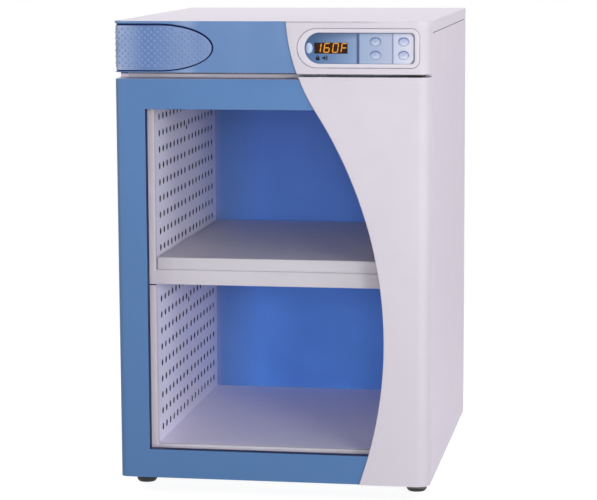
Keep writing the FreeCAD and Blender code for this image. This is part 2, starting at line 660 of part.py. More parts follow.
# ---- fan, heater and electrics
def impeller():
    """A radial fan wheel on its shaft, between the ceiling and the deck."""
    z0 = CEILING_Z + SHEET + PLENUM_GAP
    z1 = z0 + FAN_HEIGHT
    wheel = rod(FAN_RADIUS, 0, FAN_Y, z1 - FAN_PLATE, FAN_PLATE)
    wheel = wheel.fuse(rod(FAN_RADIUS, 0, FAN_Y, z0, FAN_PLATE)
                       .cut(rod(FAN_RADIUS - FAN_EYE_BAND, 0, FAN_Y, z0 - 1, 5)))
    chord, thick = FAN_BLADE
    middle = FAN_RADIUS - FAN_EYE_BAND / 2
    for i in range(FAN_BLADES):
        blade = block(middle - chord / 2, middle + chord / 2, -thick / 2, thick / 2, z0, z1)
        blade.rotate(V(middle, 0, 0), V(0, 0, 1), FAN_BLADE_TURN)
        blade.rotate(V(0, 0, 0), V(0, 0, 1), i * 360 / FAN_BLADES)
        blade.translate(V(0, FAN_Y, 0))
        wheel = wheel.fuse(blade)
    low = z0 + HUB_RISE
    hub = rod(HUB_RADIUS, 0, FAN_Y, low, z1 - low)
    shaft = rod(SHAFT_RADIUS, 0, FAN_Y, low, DECK_Z + SHAFT_REACH - low)
    return wheel.fuse(hub).fuse(shaft)


def fan_motor():
    z0 = DECK_Z + SHEET
    radius, thick = MOTOR_FLANGE
    motor = rod(radius, 0, FAN_Y, z0, thick).fuse(rod(MOTOR_RADIUS, 0, FAN_Y, z0, MOTOR_HEIGHT))
    top_edges = [e for e in motor.Edges if abs(e.BoundBox.ZMin - z0 - MOTOR_HEIGHT) < 1e-6]
    motor = motor.makeFillet(MOTOR_ROUND, top_edges)
    return motor.cut(rod(SHAFT_RADIUS + PIN_CLEAR, 0, FAN_Y, z0 - 1, SHAFT_REACH + 2))


def heater_leg_places():
    half = radians((360 - HEATER_SWEEP) / 2)
    return [(HEATER_RADIUS * sin(s * half), FAN_Y + HEATER_RADIUS * cos(half)) for s in (-1, 1)]


def heater_coil():
    """A sheathed ring heater around the fan, with both legs up through the deck."""
    z = (CEILING_Z + DECK_Z + SHEET) / 2
    half = (360 - HEATER_SWEEP) / 2
    start = 90 + half
    coil = Part.makeTorus(HEATER_RADIUS, HEATER_TUBE, V(0, 0, 0), V(0, 0, 1), 0, 360, HEATER_SWEEP)
    coil.rotate(V(0, 0, 0), V(0, 0, 1), start)
    coil.translate(V(0, FAN_Y, z))
    for x, y in heater_leg_places():
        coil = coil.fuse(Part.makeSphere(HEATER_TUBE, V(x, y, z)))
        coil = coil.fuse(rod(HEATER_TUBE, x, y, z, DECK_Z + HEATER_LEG - z))
    return coil


def air_probe():
    """A temperature probe that hangs into the plenum from a flange on the deck."""
    z0 = DECK_Z + SHEET
    radius, thick = PROBE_FLANGE
    tip = CEILING_Z + PROBE_TIP
    stem = rod(PROBE_RADIUS, PROBE_X, FAN_Y, tip, z0 + thick - tip)
    return stem.fuse(rod(radius, PROBE_X, FAN_Y, z0, thick))


def limit_thermostat():
    """A safety thermostat with two tabs, clipped to the deck."""
    z0 = DECK_Z + SHEET
    radius, height = THERMOSTAT
    thick, width, rise = THERMOSTAT_TAB
    x, y = -THERMOSTAT_PLACE[0], FAN_Y - THERMOSTAT_PLACE[1]
    body = rod(radius, x, y, z0, height)
    for side in (-1, 1):
        tab_x = x + side * THERMOSTAT_TAB_REACH
        body = body.fuse(block(tab_x - thick / 2, tab_x + thick / 2, y - width / 2, y + width / 2,
                               z0 + height, z0 + height + rise))
    return body


def power_supply():
    width, depth, height = SUPPLY_SIZE
    slot_width, slot_depth = SUPPLY_SLOT
    x1, y1 = RIGHT - SUPPLY_PLACE[0], REAR - SUPPLY_PLACE[1]
    z0 = DECK_Z + SHEET
    box = block(x1 - width, x1, y1 - depth, y1, z0, z0 + height)
    first = x1 - width / 2 - (SUPPLY_SLOTS - 1) * SUPPLY_SLOT_PITCH / 2
    slots = []
    for i in range(SUPPLY_SLOTS):
        x = first + i * SUPPLY_SLOT_PITCH
        slots.append(block(x - slot_width / 2, x + slot_width / 2, y1 - depth + SUPPLY_SLOT_PITCH,
                           y1 - SUPPLY_SLOT_PITCH, z0 + height - slot_depth, z0 + height + 1))
    return box.cut(Part.makeCompound(slots))


def terminal_block():
    """A screw terminal strip beside the power inlet."""
    length, depth, height = TERMINAL_SIZE
    radius, screw_height = TERMINAL_SCREW
    x0, y0, z0 = LEFT + TERMINAL_PLACE[0], REAR - TERMINAL_PLACE[1], DECK_Z + SHEET
    strip = block(x0, x0 + length, y0, y0 + depth, z0, z0 + height)
    floor = z0 + TERMINAL_FLOOR
    for i in range(TERMINAL_WAYS):
        x = x0 + TERMINAL_WALL + i * TERMINAL_PITCH
        x_end = x + TERMINAL_PITCH - TERMINAL_WALL
        strip = strip.cut(block(x, x_end, y0 + TERMINAL_SILL, y0 + depth - TERMINAL_SILL, floor, z0 + 20))
        strip = strip.fuse(rod(radius, (x + x_end) / 2, y0 + depth / 2, floor, screw_height))
    return strip


def inlet_centre():
    return LEFT + INLET_INSET, TOP - INLET_BELOW_TOP


def power_inlet():
    """An appliance inlet with three pins, its flange level with the body's rear edges."""
    x, z = inlet_centre()
    width, height = INLET_FLANGE
    inner_width, inner_height = INLET_CUTOUT
    y1 = REAR - REAR_INSET
    flange = block(x - width / 2, x + width / 2, y1, REAR, z - height / 2, z + height / 2)
    fit = PANEL_FIT
    body = block(x - inner_width / 2 + fit, x + inner_width / 2 - fit, y1 - INLET_BODY, y1 + 1,
                 z - inner_height / 2 + fit, z + inner_height / 2 - fit)
    inlet = flange.fuse(body)
    width, height, depth = INLET_SOCKET
    inlet = inlet.cut(block(x - width / 2, x + width / 2, y1 - depth, REAR + 1,
                            z - height / 2, z + height / 2))
    width, height, length = INLET_PIN
    root = y1 - depth - 2
    for dx, dz in INLET_PIN_PLACES:
        pin_x, pin_z = x + dx, z + dz
        inlet = inlet.fuse(block(pin_x - width / 2, pin_x + width / 2, root, root + length,
                                 pin_z - height / 2, pin_z + height / 2))
    return inlet


# ---- header and controls
def header_shell():
    """The blue moulded header, open at the rear, with a ledge for the lid."""
    shell = header_solid(0, HEADER_BOTTOM, TOP)
    rim_z = TOP - SHEET
    behind = BODY_FRONT + HEADER_TONGUE
    shell = shell.cut(header_solid(HEADER_WALL, HEADER_BOTTOM + HEADER_WALL, TOP + 5, behind))
    shell = shell.cut(header_solid(HEADER_RIM, rim_z, TOP + 5, behind))
    under_cover = header_solid(-1, rim_z, TOP + 5, behind).common(cover_region(FRONT - 2, behind + 1))
    shell = shell.cut(under_cover)
    recess = header_solid(0, HEADER_BOTTOM, TOP).cut(header_solid(PAD_THICK + PAD_FIT, 0, TOP + 5, behind))
    recess = recess.common(pad_outline(PAD_GROOVE, FRONT - 1, FRONT + PAD_SIDE_REACH + PAD_GROOVE))
    shell = shell.cut(recess)
    shell = shell.cut(panel_outline(PANEL_LEFT, PANEL_RIGHT, PANEL_HALF, PANEL_CORNER,
                                    FRONT - 1, FRONT + HEADER_WALL + 1))
    return screw_holes(shell, UPPER_HINGE_SCREWS, V(0, 0, 1))


def header_cover():
    """The white moulded cover over the right of the header, round its corner."""
    z0 = HEADER_BOTTOM - HEADER_COVER_DROP
    cover = wrapped(LEFT, RIGHT, COVER_FRONT, BODY_FRONT, z0 - EDGE_RUN, TOP + EDGE_RUN, 0, CORNER_RIGHT)
    inner = wrapped(LEFT - 1, RIGHT - COVER_THICK, FRONT, BODY_FRONT + 1, z0 - 2 * EDGE_RUN,
                    TOP + 2 * EDGE_RUN, 0, CORNER_RIGHT - COVER_THICK)
    cover = rounded_sweep(cover.cut(inner).common(cover_region(COVER_FRONT - 1, BODY_FRONT + 1)))
    cover = cover.common(block(LEFT, RIGHT + 1, COVER_FRONT - 1, BODY_FRONT + 1, z0, TOP))
    return cover.cut(bezel_outline(BEZEL_GROOVE, COVER_FRONT - 1, FRONT + 1))


def grip_pad():
    """The textured finger pad, let into the header round its left corner."""
    inside = header_solid(PAD_THICK, 0, TOP + 5, BODY_FRONT + HEADER_TONGUE)
    skin = header_solid(0, HEADER_BOTTOM, TOP).cut(inside)
    return skin.common(pad_outline(0, FRONT - 1, FRONT + PAD_SIDE_REACH))


def control_bezel():
    outer = bezel_outline(0, COVER_FRONT, FRONT)
    bezel = outer.cut(panel_outline(PANEL_LEFT, PANEL_RIGHT, PANEL_HALF, PANEL_CORNER,
                                    COVER_FRONT - 1, FRONT + 1))
    front_edges = [e for e in bezel.Edges if abs(e.BoundBox.YMax - COVER_FRONT) < 1e-6]
    return bezel.makeFillet(BEZEL_ROUND, front_edges)


def control_panel():
    """The keypad carrier: three fields, a display window, a lens hole and four key holes."""
    y0, y1 = PANEL_FACE, PANEL_FACE + PANEL_THICK
    fit = PANEL_FIT
    panel = panel_outline(PANEL_LEFT + fit, PANEL_RIGHT - fit, PANEL_HALF - fit, PANEL_CORNER - fit, y0, y1)
    panel = panel.fuse(panel_outline(PANEL_LEFT - PANEL_FLANGE, PANEL_RIGHT + PANEL_FLANGE,
                                     PANEL_HALF + PANEL_FLANGE, PANEL_CORNER + PANEL_FLANGE, y1, PANEL_REAR))
    for offset, width in DIVIDERS:
        x = PANEL_LEFT + offset
        panel = panel.cut(block(x - width / 2, x + width / 2, y0 - 1, y0 + DIVIDER_DEPTH,
                                HEADER_BOTTOM, TOP))
    x = PANEL_LEFT + DISPLAY_OFFSET
    width, height = DISPLAY_WINDOW
    panel = panel.cut(block(x - width / 2, x + width / 2, y0 - 1, y1 + 5,
                            PANEL_MID - height / 2, PANEL_MID + height / 2))
    width, height = DISPLAY_BODY
    panel = panel.cut(block(x - width / 2 - CLEAR, x + width / 2 + CLEAR, y0 + DISPLAY_SETBACK - 0.1, y1 + 5,
                            PANEL_MID - height / 2 - CLEAR, PANEL_MID + height / 2 + CLEAR))
    panel = panel.cut(oval(PANEL_LEFT + LENS_OFFSET, PANEL_MID, LENS_SIZE[0] + 2 * LENS_CLEAR,
                           LENS_SIZE[1] + 2 * LENS_CLEAR, y0 - 1, y1 + 5))
    for x, z in key_places():
        panel = panel.cut(oval(x, z, KEY_SIZE[0] + 2 * KEY_CLEAR, KEY_SIZE[1] + 2 * KEY_CLEAR,
                               y0 - 1, y1 + 5))
    return panel


def key_places():
    return [(PANEL_LEFT + column, PANEL_MID + side * KEY_ROW_PITCH / 2)
            for column in KEY_COLUMNS for side in (1, -1)]


def key(x, z):
    """A domed oval key with a retaining flange and a plunger."""
    width, height = KEY_SIZE
    face = PANEL_FACE - KEY_PROUD
    back = PANEL_REAR + 0.1
    cap = oval(x, z, width, height, face, back)
    cap = cap.makeFillet(KEY_ROUND, [e for e in cap.Edges if abs(e.BoundBox.YMax - face) < 1e-6])
    lap, thick = KEY_FLANGE
    flange = oval(x, z, width + 2 * lap, height + 2 * lap, back, back + thick)
    plunger = rod(PLUNGER_RADIUS, x, back, z, SWITCH_FACE - KEY_TRAVEL - 0.1 - back, V(0, 1, 0))
    return cap.fuse(flange).fuse(plunger)


def key_switches():
    """A tactile switch on the board behind each key."""
    switches = []
    side, height = SWITCH_BODY
    for x, z in key_places():
        body = block(x - side / 2, x + side / 2, BOARD_Y - height, BOARD_Y, z - side / 2, z + side / 2)
        switches.append(body.fuse(rod(SWITCH_BUTTON, x, SWITCH_FACE, z, height / 2, V(0, 1, 0))))
    return Part.makeCompound(switches)


def led_display():
    x = PANEL_LEFT + DISPLAY_OFFSET
    width, height = DISPLAY_BODY
    return block(x - width / 2, x + width / 2, PANEL_FACE + DISPLAY_SETBACK, BOARD_Y,
                 PANEL_MID - height / 2, PANEL_MID + height / 2)


def indicator_lens():
    face = PANEL_FACE - LENS_PROUD
    lens = oval(PANEL_LEFT + LENS_OFFSET, PANEL_MID, LENS_SIZE[0], LENS_SIZE[1], face, BOARD_Y)
    return lens.makeFillet(LENS_ROUND, [e for e in lens.Edges if abs(e.BoundBox.YMax - face) < 1e-6])


def control_board():
    width, height = BOARD_SIZE
    x1 = PANEL_RIGHT - BOARD_END
    return block(x1 - width, x1, BOARD_Y, BOARD_Y + BOARD_THICK, PANEL_MID - height / 2,
                 PANEL_MID + height / 2)


def board_standoffs():
    """Four posts between the keypad carrier and the board."""
    posts = []
    for x in (PANEL_LEFT + PANEL_HALF, PANEL_RIGHT - POST_INSET):
        for side in (-1, 1):
            posts.append(rod(POST_RADIUS, x, PANEL_REAR, PANEL_MID + side * (PANEL_HALF - POST_ROW_INSET),
                             BOARD_Y - PANEL_REAR, V(0, 1, 0)))
    return Part.makeCompound(posts)


# ---- hinges
def hinge_plate(y1, z0):
    x1 = RIGHT - HINGE_SIDE
    y0 = PIN_Y - HINGE_NOSE
    plate = block(x1 - HINGE_WIDTH, x1, y0, y1, z0, z0 + HINGE_PLATE)
    for x in (x1 - HINGE_WIDTH, x1):
        plate = plate.makeFillet(HINGE_CORNER, upright_edges(plate, x, y0))
    return plate


def upper_hinge():
    """A plate under the header with a pin down into the door."""
    plate = hinge_plate(BODY_FRONT - CLEAR, HEADER_BOTTOM - HINGE_PLATE)
    plate = screw_holes(plate, UPPER_HINGE_SCREWS, V(0, 0, 1))
    length = HEADER_BOTTOM - HINGE_PLATE - DOOR_TOP + PIN_REACH
    return plate.fuse(rod(PIN_RADIUS, PIN_X, PIN_Y, DOOR_TOP - PIN_REACH, length + 1))


def lower_hinge():
    """A plate under the base with a pin up into the door."""
    plate = hinge_plate(BODY_FRONT + HINGE_LAP, BASE - HINGE_PLATE)
    plate = screw_holes(plate, LOWER_HINGE_SCREWS, V(0, 0, 1))
    return plate.fuse(rod(PIN_RADIUS, PIN_X, PIN_Y, BASE - 1, 1 + DOOR_LIFT + PIN_REACH))


def hinge_bushes():
    """Flanged nylon bushes that run on the two pins."""
    lower = rod(BUSH_FLANGE, PIN_X, PIN_Y, BASE + 0.1, DOOR_LIFT - 0.1)
    lower = lower.fuse(rod(BUSH_RADIUS, PIN_X, PIN_Y, DOOR_BOTTOM - 0.1, BUSH_LENGTH))
    upper = rod(BUSH_FLANGE, PIN_X, PIN_Y, DOOR_TOP, BUSH_HEAD)
    upper = upper.fuse(rod(BUSH_RADIUS, PIN_X, PIN_Y, DOOR_TOP - BUSH_LENGTH, BUSH_LENGTH + 0.5))
    bore = rod(PIN_RADIUS + PIN_CLEAR, PIN_X, PIN_Y, BASE - 5, TOP)
    return Part.makeCompound([lower.cut(bore), upper.cut(bore)])


def bush_holes(radius):
    lower = rod(radius, PIN_X, PIN_Y, DOOR_BOTTOM - 10, 10 + BUSH_LENGTH)
    upper = rod(radius, PIN_X, PIN_Y, DOOR_TOP - BUSH_LENGTH, 30)
    return Part.makeCompound([lower, upper])


# ---- door
def door_skin():
    """The blue front sheet, folded back on all four sides, with the window cut out."""
    y0, y1 = FRONT, BODY_FRONT - DOOR_GAP
    right_radius = CORNER_RIGHT - COVER_THICK - COVER_FIT
    skin = wrapped(LEFT, DOOR_RIGHT, y0, y1, DOOR_BOTTOM, DOOR_TOP, CORNER_LEFT, right_radius,
                   BACK_CORNER - COVER_THICK)
    cavity = wrapped(LEFT + DOOR_SKIN, DOOR_RIGHT - DOOR_SKIN, y0 + DOOR_SKIN, y1 + 1,
                     DOOR_BOTTOM + DOOR_SKIN, DOOR_TOP - DOOR_SKIN, CORNER_LEFT - DOOR_SKIN,
                     right_radius - DOOR_SKIN)
    skin = skin.cut(cavity).cut(block(WINDOW[0], WINDOW[1], y0 - 1, y0 + 5, WINDOW[2], WINDOW[3]))
    return skin.cut(bush_holes(BUSH_RADIUS))


def door_cover():
    """The white moulded cover that sweeps down the right of the door and round its side."""
    z1 = DOOR_TOP + DOOR_COVER_RISE
    cap_z = z1 - COVER_THICK
    y1 = BODY_FRONT - DOOR_GAP
    cover = wrapped(LEFT, RIGHT, COVER_FRONT, y1, DOOR_BOTTOM - EDGE_RUN, z1 + EDGE_RUN, 0,
                    CORNER_RIGHT, BACK_CORNER)
    inner = wrapped(LEFT - 1, RIGHT - COVER_THICK, FRONT, y1 + 1, DOOR_BOTTOM - 2 * EDGE_RUN, cap_z,
                    0, CORNER_RIGHT - COVER_THICK)
    cover = rounded_sweep(cover.cut(inner).common(cover_region(COVER_FRONT - 1, y1 + 1)))
    cover = cover.common(block(LEFT, RIGHT + 1, COVER_FRONT - 1, y1 + 1, DOOR_BOTTOM, z1))
    return cover.cut(rod(COVER_PIN_HOLE, PIN_X, PIN_Y, cap_z - 1, 10))


def door_pan():
    """The door's inner tray: a folded channel whose ledge clamps the seal and glass."""
    gap = DOOR_SKIN + CLEAR
    outer = (LEFT + gap, DOOR_RIGHT - gap, DOOR_BOTTOM + gap, DOOR_TOP - gap)
    y0, y1 = FRONT + PAN_FRONT, BODY_FRONT - PAN_GAP
    pan = ring(outer, PAN_OPENING, y0, y1)
    pan = pan.cut(ring(grown(outer, -SHEET), grown(PAN_OPENING, SHEET), y0 - 1, y1 - SHEET))
    ledge = ring(PAN_OPENING, grown(WINDOW, LEDGE_LAP), y0, y0 + SHEET)
    return pan.fuse(ledge).removeSplitter().cut(bush_holes(BUSH_RADIUS))


def window_glass():
    edge = grown(WINDOW, GLASS_LAP)
    y0 = FRONT + GLASS_SETBACK
    return block(edge[0], edge[1], y0, y0 + GLASS_THICK, edge[2], edge[3])


def glazing_seal():
    """A dark rubber channel around the glass, seen as the lining of the window."""
    y0 = FRONT + DOOR_SKIN
    y1 = FRONT + PAN_FRONT
    seal = ring(grown(WINDOW, SEAL_WIDTH), WINDOW, y0, y1)
    return seal.cut(window_glass())


def door_gasket():
    """A magnetic bulb gasket on the rear of the door."""
    y0 = BODY_FRONT - PAN_GAP
    y1 = BODY_FRONT - CLEAR
    outer = (LEFT + GASKET_INSET, RIGHT - GASKET_INSET - COVER_THICK, DOOR_BOTTOM + GASKET_INSET,
             DOOR_TOP - GASKET_INSET)
    return ring(outer, grown(outer, -GASKET_WIDTH), y0, y1)


# ---- feet and screws
def foot_places():
    return [(x, y) for y in (FRONT + FOOT_FRONT, REAR - FOOT_REAR)
            for x in (LEFT + FOOT_INSET, RIGHT - FOOT_INSET)]


def foot(x, y):
    """A levelling foot: a tapered disc, a collar and a threaded stud."""
    inset, rise = FOOT_TAPER
    disc = Part.makeCone(FOOT_RADIUS - inset, FOOT_RADIUS, rise, V(x, y, 0), V(0, 0, 1))
    disc = disc.fuse(rod(FOOT_RADIUS, x, y, rise, FOOT_DISC - rise))
    collar = rod(FOOT_COLLAR, x, y, FOOT_DISC, BASE - CLEAR - FOOT_DISC)
    stud = rod(STUD_RADIUS, x, y, FOOT_DISC, BASE + STUD_REACH - FOOT_DISC)
    return disc.fuse(collar).fuse(stud)


def foot_sockets():
    sockets = []
    for x, y in foot_places():
        socket = rod(SOCKET_RADIUS, x, y, BASE + SHEET, STUD_REACH - SHEET)
        sockets.append(socket.cut(rod(STUD_RADIUS + PIN_CLEAR, x, y, BASE, STUD_REACH + 5)))
    return Part.makeCompound(sockets)


def panel_screws():
    """The rear panel's screws and those of the two hinge plates."""
    screws = [screw(x, y, z, V(0, -1, 0)) for x, y, z in rear_screw_places()]
    screws += [screw(x, y, z, V(0, 0, 1)) for x, y, z in UPPER_HINGE_SCREWS + LOWER_HINGE_SCREWS]
    return Part.makeCompound(screws)


def save(name, shape):
    shape.exportStep("parts/" + name + ".step")


os.makedirs("parts", exist_ok=True)

save("side_panel_left", side_panel(-1))
save("side_panel_right", side_panel(1))
save("rear_panel", rear_panel())
save("base_pan", base_pan())
save("top_cover", top_cover())
save("face_frame_upper", face_frame_upper())
save("face_frame_lower", face_frame_lower())
for side_name, side_sign in (("left", -1), ("right", 1)):
    save("duct_panel_upper_" + side_name, duct_panel(side_sign, False))
    save("duct_panel_lower_" + side_name, duct_panel(side_sign, True))
    save("duct_wall_" + side_name, duct_wall(side_sign))
    save("insulation_" + side_name, insulation_side(side_sign))
save("insulation_rear", insulation_rear())
save("insulation_floor", insulation_floor())
save("chamber_back", chamber_back())
save("chamber_floor", chamber_floor())
save("divider_deck", divider_deck())
save("ceiling_panel", ceiling_panel())
save("shelf", shelf())
save("equipment_deck", equipment_deck())
save("impeller", impeller())
save("fan_motor", fan_motor())
save("heater_coil", heater_coil())
save("air_probe", air_probe())
save("limit_thermostat", limit_thermostat())
save("power_supply", power_supply())
save("terminal_block", terminal_block())
save("power_inlet", power_inlet())
save("header_shell", header_shell())
save("header_cover", header_cover())
save("grip_pad", grip_pad())
save("control_bezel", control_bezel())
save("control_panel", control_panel())
save("led_display", led_display())
save("indicator_lens", indicator_lens())
save("control_board", control_board())
save("board_standoffs", board_standoffs())
save("key_switches", key_switches())
for key_name, key_place in zip(("alarm", "up", "power", "down"), key_places()):
    save("key_" + key_name, key(*key_place))
save("upper_hinge", upper_hinge())
save("lower_hinge", lower_hinge())
save("hinge_bushes", hinge_bushes())
save("door_skin", door_skin())
save("door_cover", door_cover())
save("door_pan", door_pan())
save("window_glass", window_glass())
save("glazing_seal", glazing_seal())
save("door_gasket", door_gasket())
for foot_name, foot_place in zip(("front_left", "front_right", "rear_left", "rear_right"), foot_places()):
    save("foot_" + foot_name, foot(*foot_place))
save("foot_sockets", foot_sockets())
save("panel_screws", panel_screws())
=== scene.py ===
from functools import partial
from math import cos, pi, radians, sin, tau

import bmesh
import bpy
from mathutils import Matrix, Vector


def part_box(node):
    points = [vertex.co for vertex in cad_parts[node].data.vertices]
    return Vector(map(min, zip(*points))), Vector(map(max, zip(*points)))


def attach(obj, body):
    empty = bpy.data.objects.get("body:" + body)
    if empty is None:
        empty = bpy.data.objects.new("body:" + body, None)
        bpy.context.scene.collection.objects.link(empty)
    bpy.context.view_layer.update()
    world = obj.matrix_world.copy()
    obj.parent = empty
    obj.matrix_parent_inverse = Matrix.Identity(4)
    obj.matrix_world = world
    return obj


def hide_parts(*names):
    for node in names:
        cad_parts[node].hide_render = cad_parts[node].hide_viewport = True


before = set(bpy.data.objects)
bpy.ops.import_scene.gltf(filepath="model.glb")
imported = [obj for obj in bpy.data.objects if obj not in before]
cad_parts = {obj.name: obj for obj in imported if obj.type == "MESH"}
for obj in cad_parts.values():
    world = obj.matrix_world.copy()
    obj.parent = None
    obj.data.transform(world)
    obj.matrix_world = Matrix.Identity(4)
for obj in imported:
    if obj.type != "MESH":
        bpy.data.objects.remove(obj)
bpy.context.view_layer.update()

# Blanket warming cabinet with one glazed door, a moulded header and a keypad.
# Metres, +Z up, +X to the right, +Y from the door to the rear, the floor at zero.


# ---- Outer sheets: sides, rear and lid
# 1.2 mm steel, folded at its edges and powder coated white with a faint orange peel.
# The lid drops over the sides; its seam is the thin dark line under the flange, darkened by a strip painted
# as the shade in it.
CREASE = 28                  # degrees beyond which an edge stays sharp
SHEET_EDGE = 0.0006          # radius of a folded sheet's edges
LINER_EDGE = 0.0004
# above this height, just under the header, its shadow is painted on the sides' front edges and the face
# frames
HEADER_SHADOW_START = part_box("header_shell")[0].z - 0.0044
JOGGLE_START = 0.6727        # the sides step in above this, under the lid's flange
SEAM_OPEN = 0.0004
NEAR = 0.0001


def srgb(red, green, blue):
    """The linear colour of a display value from 0 to 255."""
    channels = [c / 255 for c in (red, green, blue)]
    return tuple(c / 12.92 if c <= 0.04045 else ((c + 0.055) / 1.055) ** 2.4 for c in channels) + (1.0,)


def add(tree, kind, settings=None, **inputs):
    """A node with its settings made and its inputs set to values or linked to sockets."""
    made = tree.nodes.new(kind)
    for key, value in (settings or {}).items():
        setattr(made, key, value)
    for key, value in inputs.items():
        socket = made.inputs[int(key[1:]) if key[1:].isdigit() else key.replace("_", " ")]
        if isinstance(value, bpy.types.NodeSocket):
            tree.links.new(value, socket)
        else:
            socket.default_value = value
    return made


def tree_of(*values):
    """The node tree that the sockets among these values belong to."""
    return next(value.id_data for value in values if isinstance(value, bpy.types.NodeSocket))


def calc(operation, a, b=0.0):
    """One arithmetic step."""
    return add(tree_of(a, b), "ShaderNodeMath", {"operation": operation}, i0=a, i1=b).outputs[0]


plus, minus, times, over, larger, smaller, above, under = (
    partial(calc, operation) for operation in ("ADD", "SUBTRACT", "MULTIPLY", "DIVIDE", "MAXIMUM", "MINIMUM",
                                               "GREATER_THAN", "LESS_THAN"))


def ranged(value, low, high, to_low=0.0, to_high=1.0):
    """A value spread linearly from one range to another, and held at its ends."""
    return add(value.id_data, "ShaderNodeMapRange", Value=value, From_Min=low, From_Max=high, To_Min=to_low,
               To_Max=to_high).outputs[0]


def tinted(mask, first, second):
    """Two colours mixed by a mask, each a socket or a display value."""
    first, second = (srgb(*colour) if isinstance(colour, tuple) else colour for colour in (first, second))
    return add(mask.id_data, "ShaderNodeMix", {"data_type": "RGBA"}, i0=mask, i6=first, i7=second).outputs[2]


def axes(place):
    """The X, Y and Z of a place."""
    return add(place.id_data, "ShaderNodeSeparateXYZ", Vector=place).outputs


def vector(x=0.0, y=0.0, z=0.0):
    return add(tree_of(x, y, z), "ShaderNodeCombineXYZ", X=x, Y=y, Z=z).outputs[0]


def length(value):
    return add(value.id_data, "ShaderNodeVectorMath", {"operation": "LENGTH"}, i0=value).outputs["Value"]


def noise(place, scale, **values):
    return add(place.id_data, "ShaderNodeTexNoise", Vector=place, Scale=scale, **values).outputs[0]


def effect(name, **inputs):
    """A shader node group: its tree, its input sockets by name, and a function that joins its outputs."""
    tree = bpy.data.node_groups.new(name, "ShaderNodeTree")
    tree.interface.new_socket("Vector", in_out="INPUT", socket_type="NodeSocketVector")
    for label, value in inputs.items():
        kind = "Color" if isinstance(value, tuple) else "Float"
        tree.interface.new_socket(label.replace("_", " "), in_out="INPUT",
                                  socket_type="NodeSocket" + kind).default_value = value
    for label, kind in (("Colour", "Color"), ("Roughness", "Float"), ("Height", "Float")):
        tree.interface.new_socket(label, in_out="OUTPUT", socket_type="NodeSocket" + kind)
    start, end = tree.nodes.new("NodeGroupInput"), tree.nodes.new("NodeGroupOutput")

    def put(colour, roughness, height):
        for label, socket in (("Colour", colour), ("Roughness", roughness), ("Height", height)):
            tree.links.new(socket, end.inputs[label])

    return tree, start.outputs, put


def material(name, **values):
    """A material, its Principled shader and the object coordinates that its patterns read."""
    made = bpy.data.materials.new(name)
    made.use_nodes = True
    shader = made.node_tree.nodes["Principled BSDF"]
    for key, value in values.items():
        shader.inputs[key.replace("_", " ")].default_value = value
    return made, shader, made.node_tree.nodes.new("ShaderNodeTexCoord").outputs["Object"]


def feed(shader, **sockets):
    """Joins sockets to a shader's inputs."""
    for key, socket in sockets.items():
        socket.id_data.links.new(socket, shader.inputs[key.replace("_", " ")])


def bumped(height, distance):
    return add(height.id_data, "ShaderNodeBump", Height=height, Distance=distance, Strength=1.0).outputs[0]


def surfaced(name, group, relief, look, **values):
    """A material that uses an effect group; a colour may be a function of the place on the piece."""
    made, shader, place = material(name, **look)
    for key, value in values.items():
        values[key] = value(place) if callable(value) else srgb(*value) if isinstance(value, tuple) else value
    used = add(place.id_data, "ShaderNodeGroup", {"node_tree": group}, Vector=place, **values).outputs
    feed(shader, Base_Color=used["Colour"], Roughness=used["Roughness"],
         Normal=bumped(used["Height"], relief))
    return made


powder_coat, given, put = effect("Powder coat", Colour=(0.8, 0.8, 0.8, 1), Cast=(0.7, 0.7, 0.8, 1),
                                 Mottle=0.3, Gloss=0.35, Gloss_Spread=0.06, Peel_Size=0.0016)
cloud = noise(given["Vector"], 9.0, Detail=3.0, Roughness=0.6)
speck = noise(given["Vector"], 520.0, Detail=1.0)
wipe = noise(given["Vector"], 34.0, Detail=4.0, Distortion=0.6)
tone = plus(times(ranged(cloud, 0.3, 0.7), 0.75), times(ranged(speck, 0.35, 0.65), 0.25))
put(tinted(times(tone, given["Mottle"]), given["Colour"], given["Cast"]),
    plus(given["Gloss"], times(minus(wipe, 0.5), given["Gloss Spread"])),
    noise(given["Vector"], over(1.0, given["Peel Size"]), Detail=1.5, Roughness=0.45))


def coated(name, colour, cast, mottle=0.35, gloss=0.38, spread=0.12, peel=0.0018, relief=0.00005,
           specular=0.35):
    """A powder coated or stoved finish in one colour that drifts slightly towards its cast."""
    return surfaced(name, powder_coat, relief, {"Specular_IOR_Level": specular}, Colour=colour, Cast=cast,
                    Mottle=mottle, Gloss=gloss, Gloss_Spread=spread, Peel_Size=peel)


def joined(node, whole=True):
    """A copy of a CAD node's mesh, its loose triangles welded and its flat faces made whole if wanted."""
    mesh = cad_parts[node].data.copy()
    for name in ("custom_normal", "sharp_face", "sharp_edge"):
        if name in mesh.attributes:
            mesh.attributes.remove(mesh.attributes[name])
    work = bmesh.new()
    work.from_mesh(mesh)
    bmesh.ops.remove_doubles(work, verts=work.verts, dist=2e-6)
    if whole:
        bmesh.ops.dissolve_limit(work, angle_limit=radians(0.15), verts=work.verts, edges=work.edges)
    work.to_mesh(mesh)
    work.free()
    return mesh


def smoothed(mesh, angle=CREASE):
    mesh.shade_smooth()
    mesh.set_sharp_from_angle(angle=radians(angle))
    return mesh


def piece(name, mesh, body, slot, finishes, *nodes):
    """Shows a mesh as a finished piece that rides on its body and stands for its CAD nodes."""
    which = [face.material_index for face in mesh.polygons]
    mesh.materials.clear()
    for finish in finishes:
        mesh.materials.append(finish)
    mesh.polygons.foreach_set("material_index", which)
    made = bpy.data.objects.new(name, mesh)
    bpy.context.scene.collection.objects.link(made)
    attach(made, body)
    if nodes:
        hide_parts(*nodes)
    return made


def eased(made, radius, angle=CREASE):
    """Rounds a piece's sharp edges by a small radius."""
    ease = made.modifiers.new("Edge radius", "BEVEL")
    ease.limit_method = "ANGLE"
    ease.angle_limit = radians(angle)
    ease.width = radius
    ease.segments = 2
    ease.use_clamp_overlap = False
    ease.harden_normals = True


